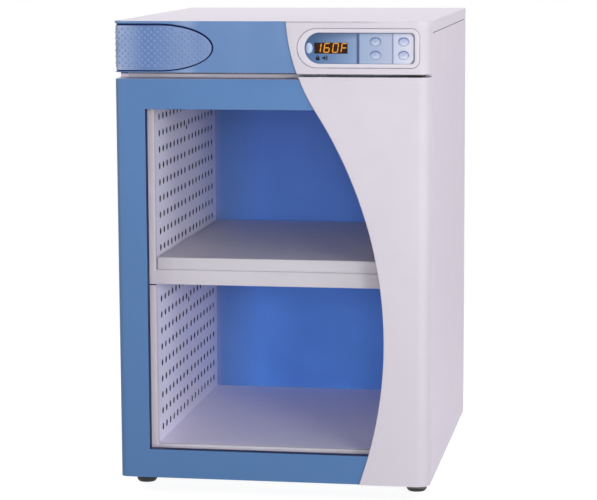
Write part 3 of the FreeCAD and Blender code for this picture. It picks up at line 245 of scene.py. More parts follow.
def softened(node, body, slot, finishes, radius=0.0):
    """Stands for a CAD node, smooth on its bends and, if wanted, with its edges rounded."""
    made = piece(node + "_finish", smoothed(joined(node)), body, slot, finishes, node)
    if radius:
        eased(made, radius)
    return made


white_coat = coated("white powder coat", (221, 213, 225), (214, 206, 218), gloss=0.46)
side_coat = coated("white powder coat of the sides", (221, 211, 227), (214, 204, 220), gloss=0.46)
shade_strip = coated("painted shade strip", (84, 76, 92), (70, 64, 78), mottle=0.5, gloss=0.7)
lid = softened("top_cover", "cabinet", "white_paint", [white_coat], SHEET_EDGE)
softened("rear_panel", "cabinet", "white_paint", [white_coat], SHEET_EDGE)
for node in ("side_panel_left", "side_panel_right"):
    side = softened(node, "cabinet", "white_paint", [side_coat, shade_strip], SHEET_EDGE)
    low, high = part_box(node)
    outer_face = max(-low.x, high.x)
    work = bmesh.new()
    work.from_mesh(side.data)
    bmesh.ops.bisect_plane(work, geom=[*work.verts, *work.edges, *work.faces], plane_co=(0, 0, HEADER_SHADOW_START),
                           plane_no=(0, 0, 1))
    work.to_mesh(side.data)
    work.free()
    for face in side.data.polygons:
        # the joggled edge that the flange covers is painted dark as the shade in the seam, and the free
        # side's front edge right under the header is painted dark as the header's shadow
        spot = face.center
        joggle = spot.z > JOGGLE_START and abs(spot.x) < outer_face - 3 * NEAR
        under_header = spot.z > HEADER_SHADOW_START and spot.y < low.y + NEAR and spot.x < 0
        face.material_index = int(joggle or under_header)
# the sheet is sheared a little short, so the seam under the flange stays open
flange_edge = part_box("top_cover")[0].z
for vertex in lid.data.vertices:
    if vertex.co.z < flange_edge + NEAR:
        vertex.co.z += SEAM_OPEN


# ---- Base pan, foot sockets and equipment deck
# Galvanised steel: the zinc freezes into flat crystals, each a slightly different grey.
# The sockets are turned bosses pressed into the pan, and the deck is a flat sheet.
zinc_crystals, given, put = effect("Zinc crystals", Colour=(0.5, 0.5, 0.5, 1), Dull=(0.3, 0.3, 0.3, 1),
                                   Crystal_Size=0.012, Gloss=0.38)
crystal = add(zinc_crystals, "ShaderNodeTexVoronoi", Vector=given["Vector"],
              Scale=over(1.0, given["Crystal Size"])).outputs["Color"]
shade = add(zinc_crystals, "ShaderNodeSeparateColor", Color=crystal).outputs[0]
frost = noise(given["Vector"], 420.0, Detail=3.0)
put(tinted(times(plus(shade, frost), 0.5), given["Colour"], given["Dull"]),
    plus(given["Gloss"], times(shade, 0.18)), frost)


def plated(name, colour, dull, size, gloss):
    """A zinc coated steel, with its crystals as large as the coat is thick."""
    return surfaced(name, zinc_crystals, 0.00002, {"Metallic": 1.0}, Colour=colour, Dull=dull,
                    Crystal_Size=size, Gloss=gloss)


def give(finish, *nodes):
    """Finishes CAD nodes whose shape is right as it is."""
    for node in nodes:
        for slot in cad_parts[node].material_slots:
            slot.material = finish


galvanised = plated("galvanised steel", (186, 189, 194), (146, 150, 157), 0.012, 0.36)
bright_zinc = plated("bright zinc plate", (203, 204, 206), (168, 170, 176), 0.0008, 0.24)
give(galvanised, "base_pan", "equipment_deck")
give(bright_zinc, "foot_sockets")


# ---- Levelling feet
# Turned black nylon discs with a fluted rim, moulded on M8 studs that screw into the sockets.
# They are wound out to level the cabinet, so each one is its own sliding body.
FOOT_FACE = 0.0116
FOOT_RIM = 0.015
FOOT_TOP = 0.009
FOOT_COLLAR = 0.0085
COLLAR_TOP = 0.0195
STUD = 0.004
STUD_END = 0.0458
THREAD_PITCH = 0.00125
THREAD_DEPTH = 0.00045
THREAD_STEPS = 4             # rings in one turn of the thread
FLUTES = 18
FLUTE_DEPTH = 0.0005
FOOT_SIDES = 72

moulded_grain, given, put = effect("Moulded grain", Colour=(0.5, 0.5, 0.5, 1), Cast=(0.4, 0.4, 0.4, 1),
                                   Mottle=0.3, Gloss=0.4, Gloss_Spread=0.1, Grain_Size=0.0008)
flow = noise(given["Vector"], 14.0, Detail=2.0, Distortion=0.8)
spark = add(moulded_grain, "ShaderNodeTexVoronoi", {"feature": "SMOOTH_F1"}, Vector=given["Vector"],
            Scale=over(1.0, given["Grain Size"]), Smoothness=0.6).outputs["Distance"]
touch = noise(given["Vector"], 48.0, Detail=5.0, Roughness=0.6)
put(tinted(times(ranged(flow, 0.3, 0.7), given["Mottle"]), given["Colour"], given["Cast"]),
    plus(given["Gloss"], times(minus(touch, 0.5), given["Gloss Spread"])), spark)


def moulded(name, colour, cast, mottle=0.3, gloss=0.42, spread=0.12, grain=0.0009, relief=0.00004,
            specular=0.35, **look):
    """An injection moulded plastic with the fine grain of a spark-eroded mould."""
    return surfaced(name, moulded_grain, relief, {"Specular_IOR_Level": specular, **look}, Colour=colour,
                    Cast=cast, Mottle=mottle, Gloss=gloss, Gloss_Spread=spread, Grain_Size=grain)


def foot_rings():
    """The foot's outline from its face up to the stud's end, fluted at the rim and threaded above."""
    def plain(r, z):
        return lambda a: (r, z)

    def fluted(r, z):
        return lambda a: (r - FLUTE_DEPTH * max(0.0, cos(FLUTES * a)) ** 2, z)

    def thread(z):
        return lambda a: (STUD - THREAD_DEPTH * abs(2 * ((z / THREAD_PITCH - a / tau) % 1.0) - 1), z)

    rings = [plain(FOOT_FACE, 0.0), plain(FOOT_FACE + 0.0010, 0.0002), plain(FOOT_FACE + 0.0016, 0.0010),
             fluted(FOOT_RIM - 0.0004, 0.0028), fluted(FOOT_RIM, 0.0036), fluted(FOOT_RIM, FOOT_TOP - 0.0012),
             fluted(FOOT_RIM - 0.0005, FOOT_TOP - 0.0003), plain(FOOT_RIM - 0.0014, FOOT_TOP),
             plain(FOOT_COLLAR + 0.0008, FOOT_TOP), plain(FOOT_COLLAR, FOOT_TOP + 0.0008),
             plain(FOOT_COLLAR, COLLAR_TOP - 0.0005), plain(FOOT_COLLAR - 0.0005, COLLAR_TOP),
             plain(STUD, COLLAR_TOP)]
    steps = int((STUD_END - 0.001 - COLLAR_TOP) / THREAD_PITCH * THREAD_STEPS)
    rings += [thread(COLLAR_TOP + (i + 1) * THREAD_PITCH / THREAD_STEPS) for i in range(steps - 1)]
    return rings + [plain(STUD - THREAD_DEPTH, STUD_END - 0.0009), plain(STUD - 0.0011, STUD_END)]


def lathed(rings, sides):
    """A closed turned form of rings that give a radius and a height at each angle."""
    work = bmesh.new()
    grid = [[work.verts.new((r * cos(a), r * sin(a), z)) for a, (r, z) in
             ((tau * i / sides, ring(tau * i / sides)) for i in range(sides))] for ring in rings]
    for lower, upper in zip(grid, grid[1:]):
        for i in range(sides):
            work.faces.new((lower[i], lower[(i + 1) % sides], upper[(i + 1) % sides], upper[i]))
    work.faces.new(grid[0][::-1])
    work.faces.new(grid[-1])
    return work


def meshed(work, name, angle=0):
    """A mesh of the form, with smooth faces' edges sharp beyond an angle."""
    mesh = bpy.data.meshes.new(name)
    work.to_mesh(mesh)
    work.free()
    if angle:
        mesh.set_sharp_from_angle(angle=radians(angle))
    return mesh


foot_nylon = moulded("black nylon", (38, 37, 41), (56, 55, 60), mottle=0.6, gloss=0.5, grain=0.0006,
                     relief=0.00005)
for corner in ("front_left", "front_right", "rear_left", "rear_right"):
    low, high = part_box("foot_" + corner)
    work = lathed(foot_rings(), FOOT_SIDES)
    bmesh.ops.translate(work, verts=work.verts, vec=((low.x + high.x) / 2, (low.y + high.y) / 2, 0))
    for face in work.faces:
        face.smooth = True
        face.material_index = int(face.calc_center_median().z > COLLAR_TOP + 1e-5)
    name = "foot_" + corner + "_turned"
    piece(name, meshed(work, name, 40), "foot_" + corner, "black_plastic", [foot_nylon, bright_zinc],
          "foot_" + corner)


# ---- Insulation
# Mineral fibre batts cut to fit between the liner and the outer sheets on three sides and the floor.
# Nothing fixes them: the sheets hold them in place.
fibre, shader, place = material("mineral fibre", Roughness=0.95, Sheen_Weight=0.2)
pressed = add(place.id_data, "ShaderNodeMapping", Vector=place, Scale=(1.0, 1.0, 7.0)).outputs[0]
strands = noise(pressed, 160.0, Detail=8.0, Roughness=0.7, Distortion=1.6)
feed(shader, Base_Color=tinted(strands, (222, 205, 140), (176, 150, 84)), Normal=bumped(strands, 0.0012))
give(fibre, "insulation_left", "insulation_right", "insulation_rear", "insulation_floor")


# ---- Chamber liner: ducts, perforated panels, floor, ceiling, divider and shelf
# Thin steel with a smooth stoved enamel, a little greyer than the outside; punched holes let warm air in.
# The shelf is a loose tray with turned-down edges that sits on the flat box of the divider.
PUNCH_MARGIN = 0.003         # from a sheet's edge to where its holes may start

liner_enamel = coated("liner enamel", (238, 232, 249), (228, 222, 242), mottle=0.4, gloss=0.42, peel=0.0024,
                      relief=0.00003)
duct_shade = coated("painted duct shade", (58, 58, 84), (44, 46, 70), mottle=0.6, gloss=0.6, peel=0.003,
                     relief=0.00004)
hole_shade = coated("painted hole shade", (38, 38, 66), (28, 28, 50), mottle=0.6, gloss=0.7, peel=0.001,
                      relief=0.00003)


def perforated(node, axis):
    """Stands for a punched sheet, whose hole edges are painted dark as the shade in the holes."""
    mesh = joined(node, whole=False)
    low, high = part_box(node)
    for face in mesh.polygons:
        inside = all(low[i] + PUNCH_MARGIN < face.center[i] < high[i] - PUNCH_MARGIN
                     for i in range(3) if i != axis)
        face.material_index = int(inside and abs(face.normal[axis]) < 0.5)
    piece(node + "_punched", smoothed(mesh, 40), "cabinet", "liner_paint", [liner_enamel, hole_shade], node)


for place_name in ("upper_left", "upper_right", "lower_left", "lower_right"):
    perforated("duct_panel_" + place_name, 0)
perforated("ceiling_panel", 2)
give(liner_enamel, "chamber_floor")
# the duct walls seen through the holes are painted dark as the shade behind the panels
give(duct_shade, "duct_wall_left", "duct_wall_right")
softened("divider_deck", "cabinet", "liner_paint", [liner_enamel], LINER_EDGE)


def frame_colour(place):
    """Painted darker towards the sides as the shade of the door's edge, with a dark strip painted under the
    header as its shadow.
    """
    x, y, z = axes(place)
    painted_light = tinted(ranged(calc("ABSOLUTE", x), 0.152, 0.176), (209, 202, 210), (188, 181, 190))
    return tinted(above(z, HEADER_SHADOW_START), painted_light, (52, 50, 66))


frame_enamel = coated("face frame enamel", frame_colour, (199, 192, 201), mottle=0.4, gloss=0.4, peel=0.0022,
                      relief=0.00003)
softened("shelf", "shelf", "liner_paint", [frame_enamel], LINER_EDGE)


# ---- Chamber back
# One sheet behind both compartments in a deep blue enamel, spot welded to the duct walls.
# It is painted darker and greyer towards its left edge as the shade in the corner by the side wall.
def back_colour(place):
    x, y, z = axes(place)
    # a little darker towards the top, as painted shade
    open_blue = tinted(ranged(z, 0.06, 0.58), (98, 160, 250), (102, 144, 236))
    corner_shade = tinted(ranged(x, -0.172, -0.102, 1.0, 0.0), open_blue, (90, 124, 184))
    return tinted(ranged(x, -0.1785, -0.1690, 0.9, 0.0), corner_shade, (120, 134, 186))


back_enamel = coated("blue back enamel", back_colour, (62, 100, 188), gloss=0.7, spread=0.1, peel=0.0024,
                     relief=0.00003, specular=0.12)
give(back_enamel, "chamber_back")


# ---- Face frames
# The liner's front flanges: one folded frame round the upper compartment with the band below it,
# and one round the lower, both enamelled like the shelf, with rounded bends at their inner edges.
FRAME_GAP = 0.0008           # the dark joint under the band

softened("face_frame_upper", "cabinet", "liner_paint", [frame_enamel], LINER_EDGE)
lower_frame = softened("face_frame_lower", "cabinet", "liner_paint", [frame_enamel], LINER_EDGE)
frame_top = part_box("face_frame_lower")[1].z
for vertex in lower_frame.data.vertices:
    if vertex.co.z > frame_top - NEAR:
        vertex.co.z -= FRAME_GAP


# ---- Fan, heater and electrics
# A die-cast fan wheel under the deck, its motor above it, and a sheathed ring heater round the wheel.
# The probe, thermostat, supply and terminal strip are bought parts screwed to the deck.
drawn_metal, given, put = effect("Drawn metal", Colour=(0.5, 0.5, 0.5, 1), Streak=(0.4, 0.4, 0.4, 1),
                                 Line_Size=0.0004, Gloss=0.3)
stretched = add(drawn_metal, "ShaderNodeMapping", Vector=given["Vector"], Scale=(1.0, 1.0, 0.04)).outputs[0]
lines = noise(stretched, over(1.0, given["Line Size"]), Detail=3.0, Roughness=0.7)
put(tinted(lines, given["Colour"], given["Streak"]), plus(given["Gloss"], times(lines, 0.15)), lines)


def drawn(name, colour, streak, line, gloss):
    """A bare metal with the fine lines of its drawing or grinding."""
    return surfaced(name, drawn_metal, 0.00001, {"Metallic": 1.0}, Colour=colour, Streak=streak,
                    Line_Size=line, Gloss=gloss)


give(drawn("cast aluminium", (196, 198, 202), (168, 171, 177), 0.0012, 0.42), "impeller")
give(drawn("heat tinted steel", (150, 138, 128), (92, 84, 96), 0.004, 0.4), "heater_coil")
give(coated("motor enamel", (48, 52, 60), (62, 66, 76), gloss=0.5, peel=0.0012), "fan_motor")
give(plated("supply case", (196, 198, 202), (172, 176, 182), 0.004, 0.32), "power_supply")
give(drawn("probe steel", (190, 190, 192), (150, 150, 156), 0.0004, 0.3), "air_probe")
give(moulded("thermostat bakelite", (40, 36, 36), (60, 52, 50), gloss=0.35, grain=0.0012), "limit_thermostat")
nylon = moulded("natural nylon", (226, 221, 206), (208, 202, 184), gloss=0.45, grain=0.001,
                Subsurface_Weight=0.1, Subsurface_Scale=0.002)
give(nylon, "terminal_block", "board_standoffs")


# ---- Power inlet
# A moulded appliance inlet that snaps into the rear panel, with three flat nickel pins.
# The detachable lead isn't part of the cabinet.
PIN_FIELD = (0.0105, 0.0070)           # half the width and height that the pins stand in
PIN_DEPTHS = (0.0178, 0.0010)          # from the mouth to their roots and tips

inlet_black = moulded("inlet plastic", (30, 30, 33), (44, 44, 48), gloss=0.38, grain=0.0007)
nickel = drawn("nickel plate", (206, 202, 190), (186, 180, 168), 0.0005, 0.2)
mesh = joined("power_inlet")
low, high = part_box("power_inlet")
socket_middle = (low + high) / 2
for face in mesh.polygons:
    away = face.center - socket_middle
    in_socket = abs(away.x) < PIN_FIELD[0] and abs(away.z) < PIN_FIELD[1]
    depth = high.y - face.center.y
    face.material_index = int(in_socket and PIN_DEPTHS[0] > depth > PIN_DEPTHS[1])
inlet = piece("power_inlet_moulding", smoothed(mesh), "cabinet", "black_plastic", [inlet_black, nickel],
              "power_inlet")
eased(inlet, 0.0003, 30)


# ---- Screws of the rear panel and hinges
# Zinc plated M4 pan-head screws with a cross recess, driven through the sheets into pressed nuts.
# Eight hold the rear panel, and two hold each hinge plate.
BODY_HIGH = 0.6712
SCREW_END = 0.040            # from the panel's ends to its first and last screws
SCREW_INSET = 0.0075         # from its sides
HINGE_INSET = 0.0055         # from a hinge plate's ends
HINGE_PLATE = 0.003
HINGE_SCREWS = {"upper_hinge": -0.0086, "lower_hinge": 0.0080}      # along Y from the sides' front edges


def nodes_tree(name, **sizes):
    """A Geometry Nodes tree with named size inputs, and the identifiers of those inputs."""
    tree = bpy.data.node_groups.new(name, "GeometryNodeTree")
    tree.interface.new_socket("Geometry", in_out="OUTPUT", socket_type="NodeSocketGeometry")
    tree.interface.new_socket("Geometry", in_out="INPUT", socket_type="NodeSocketGeometry")
    names = {}
    for label, value in sizes.items():
        kind = ("Material" if isinstance(value, bpy.types.Material) else
                "Int" if isinstance(value, int) else "Float")
        names[label] = tree.interface.new_socket(label.replace("_", " "), in_out="INPUT",
                                                 socket_type="NodeSocket" + kind).identifier
    return tree, tree.nodes.new("NodeGroupInput").outputs, tree.nodes.new("NodeGroupOutput").inputs[0], names


def grown(name, mesh, tree, names, **sizes):
    """The plain mesh that a Geometry Nodes tree makes of a mesh with these sizes."""
    maker = bpy.data.objects.new(name, mesh)
    bpy.context.scene.collection.objects.link(maker)
    steps = maker.modifiers.new(name, "NODES")
    steps.node_group = tree
    for label, value in sizes.items():
        steps[names[label]] = value
    state = bpy.context.evaluated_depsgraph_get()
    result = bpy.data.meshes.new_from_object(maker.evaluated_get(state), preserve_all_data_layers=True,
                                             depsgraph=state)
    maker.modifiers.clear()
    bpy.data.objects.remove(maker)
    return result


def moved(geometry, shift=(0, 0, 0), scale=(1, 1, 1)):
    return add(geometry.id_data, "GeometryNodeTransform", Geometry=geometry, Translation=shift,
               Scale=scale).outputs[0]


def carved(operation, body, tool):
    made = add(body.id_data, "GeometryNodeMeshBoolean", {"operation": operation, "solver": "EXACT"})
    for geometry, label in ((body, "Mesh 1" if operation == "DIFFERENCE" else "Mesh 2"), (tool, "Mesh 2")):
        body.id_data.links.new(geometry, made.inputs[label])
    return made.outputs["Mesh"]


def planted(form, points, outward, finish, result, **choice):
    """Copies of a form on points, turned outward, made real and given their finish."""
    tree = form.id_data
    turn = add(tree, "FunctionNodeAlignRotationToVector", {"axis": "Z"}, Vector=outward).outputs[0]
    copies = add(tree, "GeometryNodeInstanceOnPoints", Points=points, Instance=form, Rotation=turn,
                 **choice).outputs[0]
    real = add(tree, "GeometryNodeRealizeInstances", Geometry=copies).outputs[0]
    tree.links.new(add(tree, "GeometryNodeSetMaterial", Geometry=real, Material=finish).outputs[0], result)


screw_sizes = {"Head_Radius": 0.004, "Head_Height": 0.0017, "Crown_Radius": 0.0058, "Shank_Radius": 0.002,
               "Shank_Length": 0.007, "Recess_Width": 0.0042, "Recess_Slot": 0.0009, "Recess_Depth": 0.0012,
               "Finish": bright_zinc}
screw_tree, given, result, names = nodes_tree("Pan-head screws", **screw_sizes)
blank = add(screw_tree, "GeometryNodeMeshCylinder", Vertices=40, Radius=given["Head Radius"],
            Depth=times(given["Head Height"], 2.0)).outputs["Mesh"]
crown = moved(add(screw_tree, "GeometryNodeMeshUVSphere", Segments=40, Rings=36,
                  Radius=given["Crown Radius"]).outputs["Mesh"],
              vector(z=minus(given["Head Height"], given["Crown Radius"])))
sheet_side = moved(add(screw_tree, "GeometryNodeMeshCube", Size=(0.02, 0.02, 0.02)).outputs["Mesh"],
                   (0.0, 0.0, -0.01))
head = carved("DIFFERENCE", carved("INTERSECT", blank, crown), sheet_side)
twice = times(given["Recess Depth"], 2.0)
for size in (vector(given["Recess Width"], given["Recess Slot"], twice),
             vector(given["Recess Slot"], given["Recess Width"], twice)):
    bit = add(screw_tree, "GeometryNodeMeshCube", Size=size).outputs["Mesh"]
    head = carved("DIFFERENCE", head, moved(bit, vector(z=given["Head Height"])))
shank = moved(add(screw_tree, "GeometryNodeMeshCylinder", Vertices=20, Radius=given["Shank Radius"],
                  Depth=given["Shank Length"]).outputs["Mesh"], vector(z=times(given["Shank Length"], -0.5)))
screw = add(screw_tree, "GeometryNodeJoinGeometry")
for part in (head, shank):
    screw_tree.links.new(part, screw.inputs[0])
direction = add(screw_tree, "GeometryNodeInputNamedAttribute", {"data_type": "FLOAT_VECTOR"},
                Name="outward").outputs[0]
planted(screw.outputs[0], given["Geometry"], direction, given["Finish"], result)

rear_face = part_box("rear_panel")[1].y
side_low, side_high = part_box("side_panel_right")
screw_seats = [((side * (side_high.x - SCREW_INSET), rear_face,
                 side_low.z + SCREW_END + row * (BODY_HIGH - 2 * SCREW_END) / 3), (0, 1, 0))
               for side in (-1, 1) for row in range(4)]
for node, setback in HINGE_SCREWS.items():
    low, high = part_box(node)
    z = low.z if node == "lower_hinge" else high.z - HINGE_PLATE
    screw_seats += [((x, side_low.y + setback, z), (0, 0, -1))
                    for x in (low.x + HINGE_INSET, high.x - HINGE_INSET)]
seats = bpy.data.meshes.new("screw seats")
seats.from_pydata([seat for seat, out in screw_seats], [], [])
seats.attributes.new("outward", "FLOAT_VECTOR", "POINT").data.foreach_set(
    "vector", [c for seat, out in screw_seats for c in out])
screws = grown("screws", seats, screw_tree, names, **screw_sizes)
piece("panel_screws_turned", smoothed(screws, 30), "cabinet", "zinc", [bright_zinc], "panel_screws")


# ---- Header shell
# One blue moulding across the front of the lid, open at the rear, satin with a slight pearl.
# The oval groove round the grip pad is sunk in it, its faces painted dark blue as the shade in the groove.
PAD_MIDDLE = 0.65315
CORNER = 0.010
GROOVE_END = -0.0815
GROOVE_HALF = 0.0345
GROOVE_REAR = 0.0362         # how far round the corner the groove goes
GROOVE_DEPTH = 0.0030


def header_colour(place):
    """Blue, painted pale above and below the pad's nose as a highlight, and grey behind the bezel's open
    joint as shade.
    """
    x, y, z = axes(place)
    aside = calc("ABSOLUTE", minus(z, PAD_MIDDLE))
    from_sheen = length(vector(over(plus(x, 0.122), 0.022), over(minus(aside, 0.036), 0.013)))
    painted_light = tinted(ranged(from_sheen, 0.1, 1.0, 0.55, 0.0), (109, 141, 187), (180, 199, 227))
    return tinted(times(above(x, 0.040), under(aside, 0.03)), painted_light, (122, 114, 132))


header_blue = moulded("header blue", header_colour, (95, 128, 178), mottle=0.5, gloss=0.36, grain=0.0011,
                      relief=0.00003)
groove_shade = moulded("pad bedding", (14, 28, 76), (10, 22, 62), gloss=0.8, grain=0.001)
mesh = joined("header_shell")
LEFT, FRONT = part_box("header_shell")[0].xy
for face in mesh.polygons:
    centre = face.center
    near_pad = (centre.x < GROOVE_END and abs(centre.z - PAD_MIDDLE) < GROOVE_HALF
                and centre.y < FRONT + GROOVE_REAR)
    sunk = NEAR < min(centre.y - FRONT, centre.x - LEFT) < GROOVE_DEPTH
    if centre.x < LEFT + CORNER and centre.y < FRONT + CORNER:
        out = Vector((centre.x - LEFT - CORNER, centre.y - FRONT - CORNER)).length
        sunk = CORNER - GROOVE_DEPTH < out < CORNER - NEAR
    # the groove's sunk faces take the dark blue painted as shade
    face.material_index = int(near_pad and sunk)
piece("header_shell_moulding", smoothed(mesh), "cabinet", "blue_plastic", [header_blue, groove_shade],
      "header_shell")


# ---- Grip pad
# A soft-touch blue pad let into the header round its left corner, for the hand that opens the door.
# Rows of low round dots, every other column half a pitch up, stand on it.
PAD_SINK = 0.0009
PAD_SKIN = 0.0008            # what lies nearer the pad's face than this is part of it
PAD_NOSE_START = -0.1634     # the oval's round end starts here
PAD_TALL, PAD_LONG = 0.970, 0.985      # how much of the groove's height and nose it fills
PAD_DROP = 0.0005


def left_sheen(place):
    """1 at the left end, where a sheen is painted, down to 0 further right."""
    return ranged(axes(place)[0], LEFT + 0.002, LEFT + 0.044, 1.0, 0.0)


def pad_colour(place):
    # the pad is painted paler at its left end and towards its nose, as sheen
    pad_sheen = larger(left_sheen(place), ranged(axes(place)[0], -0.172, -0.125, 0.0, 0.4))
    return tinted(pad_sheen, (104, 132, 182), (178, 190, 217))


pad_blue = moulded("soft-touch pad", pad_colour, (100, 127, 176), mottle=0.5, gloss=0.44, grain=0.0007,
                   relief=0.00003)
# the dots are painted paler than the pad, as their highlights
dot_highlight_blue = moulded("rubbed dots", lambda place: tinted(left_sheen(place), (120, 147, 194), (134, 157, 200)),
                   (110, 137, 186), mottle=0.4, gloss=0.3, grain=0.0007, relief=0.00002)
pad_mesh = joined("grip_pad")
for vertex in pad_mesh.vertices:
    spot = vertex.co
    if spot.x < LEFT + CORNER and spot.y < FRONT + CORNER:
        centre = Vector((LEFT + CORNER, FRONT + CORNER, spot.z))
        out = spot - centre
        if out.length > CORNER - PAD_SKIN:
            vertex.co = centre + out.normalized() * (CORNER - PAD_SINK)
    elif spot.y < FRONT + PAD_SKIN:
        vertex.co.y = FRONT + PAD_SINK
    elif spot.x < LEFT + PAD_SKIN:
        vertex.co.x = LEFT + PAD_SINK
    # the groove round the pad is a little wider above it than below
    vertex.co.z = PAD_MIDDLE + (spot.z - PAD_MIDDLE) * PAD_TALL - PAD_DROP
    if spot.x > PAD_NOSE_START:
        vertex.co.x = PAD_NOSE_START + (spot.x - PAD_NOSE_START) * PAD_LONG

dot_sizes = {"Columns": 44, "Rows": 7, "Pitch_Along": 0.00465, "Pitch_Up": 0.0088, "Dot_Radius": 0.0023,
             "Dot_Rise": 0.0009, "Left": LEFT + PAD_SINK, "Front": FRONT + PAD_SINK, "Middle": PAD_MIDDLE,
             "Corner_Radius": CORNER - PAD_SINK, "Nose_Start": PAD_NOSE_START, "Nose_Length": 0.0795,
             "Half_Height": 0.0329, "Side_Reach": 0.020, "Margin": 0.0040, "Finish": dot_highlight_blue}
dot_tree, given, result, names = nodes_tree("Grip dots", **dot_sizes)
index = dot_tree.nodes.new("GeometryNodeInputIndex").outputs[0]
column = calc("FLOOR", over(plus(index, 0.5), given["Rows"]))
row = minus(index, times(column, given["Rows"]))
bend = given["Corner Radius"]
quarter = times(bend, pi / 2)
# travel is the way along the pad from the end of its bend, and up the height over its middle
travel = plus(minus(times(quarter, -1.0), given["Side Reach"]), times(column, given["Pitch Along"]))
stagger = times(calc("MODULO", column, 2.0), 0.5)
up = times(given["Pitch Up"], minus(plus(row, stagger), over(minus(given["Rows"], 1.0), 2.0)))
bend_x = plus(given["Left"], bend)
past_nose = larger(minus(plus(bend_x, travel), given["Nose Start"]), 0.0)
nose_share = over(past_nose, minus(given["Nose Length"], given["Margin"]))
high_share = over(up, minus(given["Half Height"], given["Margin"]))
spread = plus(calc("POWER", nose_share, 2.0), times(high_share, high_share))
angle = smaller(larger(over(times(travel, -1.0), bend), 0.0), pi / 2)
sine, cosine = calc("SINE", angle), calc("COSINE", angle)
dot_x = plus(bend_x, minus(larger(travel, 0.0), times(sine, bend)))
round_side = larger(minus(times(travel, -1.0), quarter), 0.0)
dot_y = plus(plus(given["Front"], bend), minus(round_side, times(cosine, bend)))
spots = add(dot_tree, "GeometryNodePoints", Count=times(given["Columns"], given["Rows"]),
            Position=vector(dot_x, dot_y, plus(given["Middle"], up))).outputs[0]
on_pad = add(dot_tree, "FunctionNodeCompare", {"data_type": "FLOAT", "operation": "LESS_THAN"}, A=spread,
             B=1.0).outputs[0]
ball = add(dot_tree, "GeometryNodeMeshUVSphere", Segments=12, Rings=6, Radius=1.0).outputs[0]
low_dot = moved(ball, scale=vector(given["Dot Radius"], given["Dot Radius"], given["Dot Rise"]))
planted(low_dot, spots, vector(times(sine, -1.0), times(cosine, -1.0)), given["Finish"], result,
        Selection=on_pad)
dots = grown("grip dots", bpy.data.meshes.new("none"), dot_tree, names, **dot_sizes)
for face in dots.polygons:
    face.material_index = 1
work = bmesh.new()
work.from_mesh(pad_mesh)
work.from_mesh(dots)
work.to_mesh(pad_mesh)
work.free()
piece("grip_pad_dotted", smoothed(pad_mesh, 35), "cabinet", "pad_blue", [pad_blue, dot_highlight_blue], "grip_pad")


# ---- Header cover and bezel
# A white moulding clipped over the right of the header and round its corner, and the panel's ring in
# the same plastic, pressed into it with a fine open joint.
header_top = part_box("header_cover")[1].z


def cover_colour(place):
    """Painted a little greyer towards the floor, as shade on the lower part."""
    return tinted(ranged(axes(place)[2], 0.06, 0.50), (206, 200, 210), (217, 211, 221))


def header_white(place):
    """Painted darker along the top edge under the lid as the shade in the seam, fading out towards the right,
    and paler in a band below it as a highlight.
    """
    x, y, z = axes(place)
    joint = times(ranged(z, header_top - 0.0030, header_top - 0.0016), ranged(x, 0.138, 0.162, 1.0, 0.0))
    brow = ranged(z, header_top - 0.0120, header_top - 0.0040)
    return tinted(joint, tinted(brow, (217, 211, 221), (224, 218, 228)), (186, 180, 192))


white_moulding, header_moulding = (
    moulded(name, colour, (208, 202, 214), mottle=0.45, gloss=0.4, grain=0.0012, relief=0.00003)
    for name, colour in (("white moulding", cover_colour), ("header moulding", header_white)))
softened("header_cover", "cabinet", "white_plastic", [header_moulding])
bezel_white = moulded("bezel white", (219, 214, 225), (211, 207, 219), gloss=0.3, relief=0.00002,
                      Coat_Weight=0.15, Coat_Roughness=0.2)
softened("control_bezel", "cabinet", "white_plastic", [bezel_white])


# ---- Keypad carrier and its printed film
# A polycarbonate film over a moulded plate, printed behind in three fields: mid blue round the
# display, pale blue behind the first pair of keys, and paler still behind the second.
PANEL_LEFT = 0.0499
PANEL_RIGHT = 0.2071
PANEL_MIDDLE = PAD_MIDDLE
PANEL_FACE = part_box("control_panel")[0].y
PANEL_HALF = 0.0219
CORNER_ROUND = 0.008
BARS = (0.1240, 0.1280, 0.1745, 0.1765)          # where the bars between the fields start and end


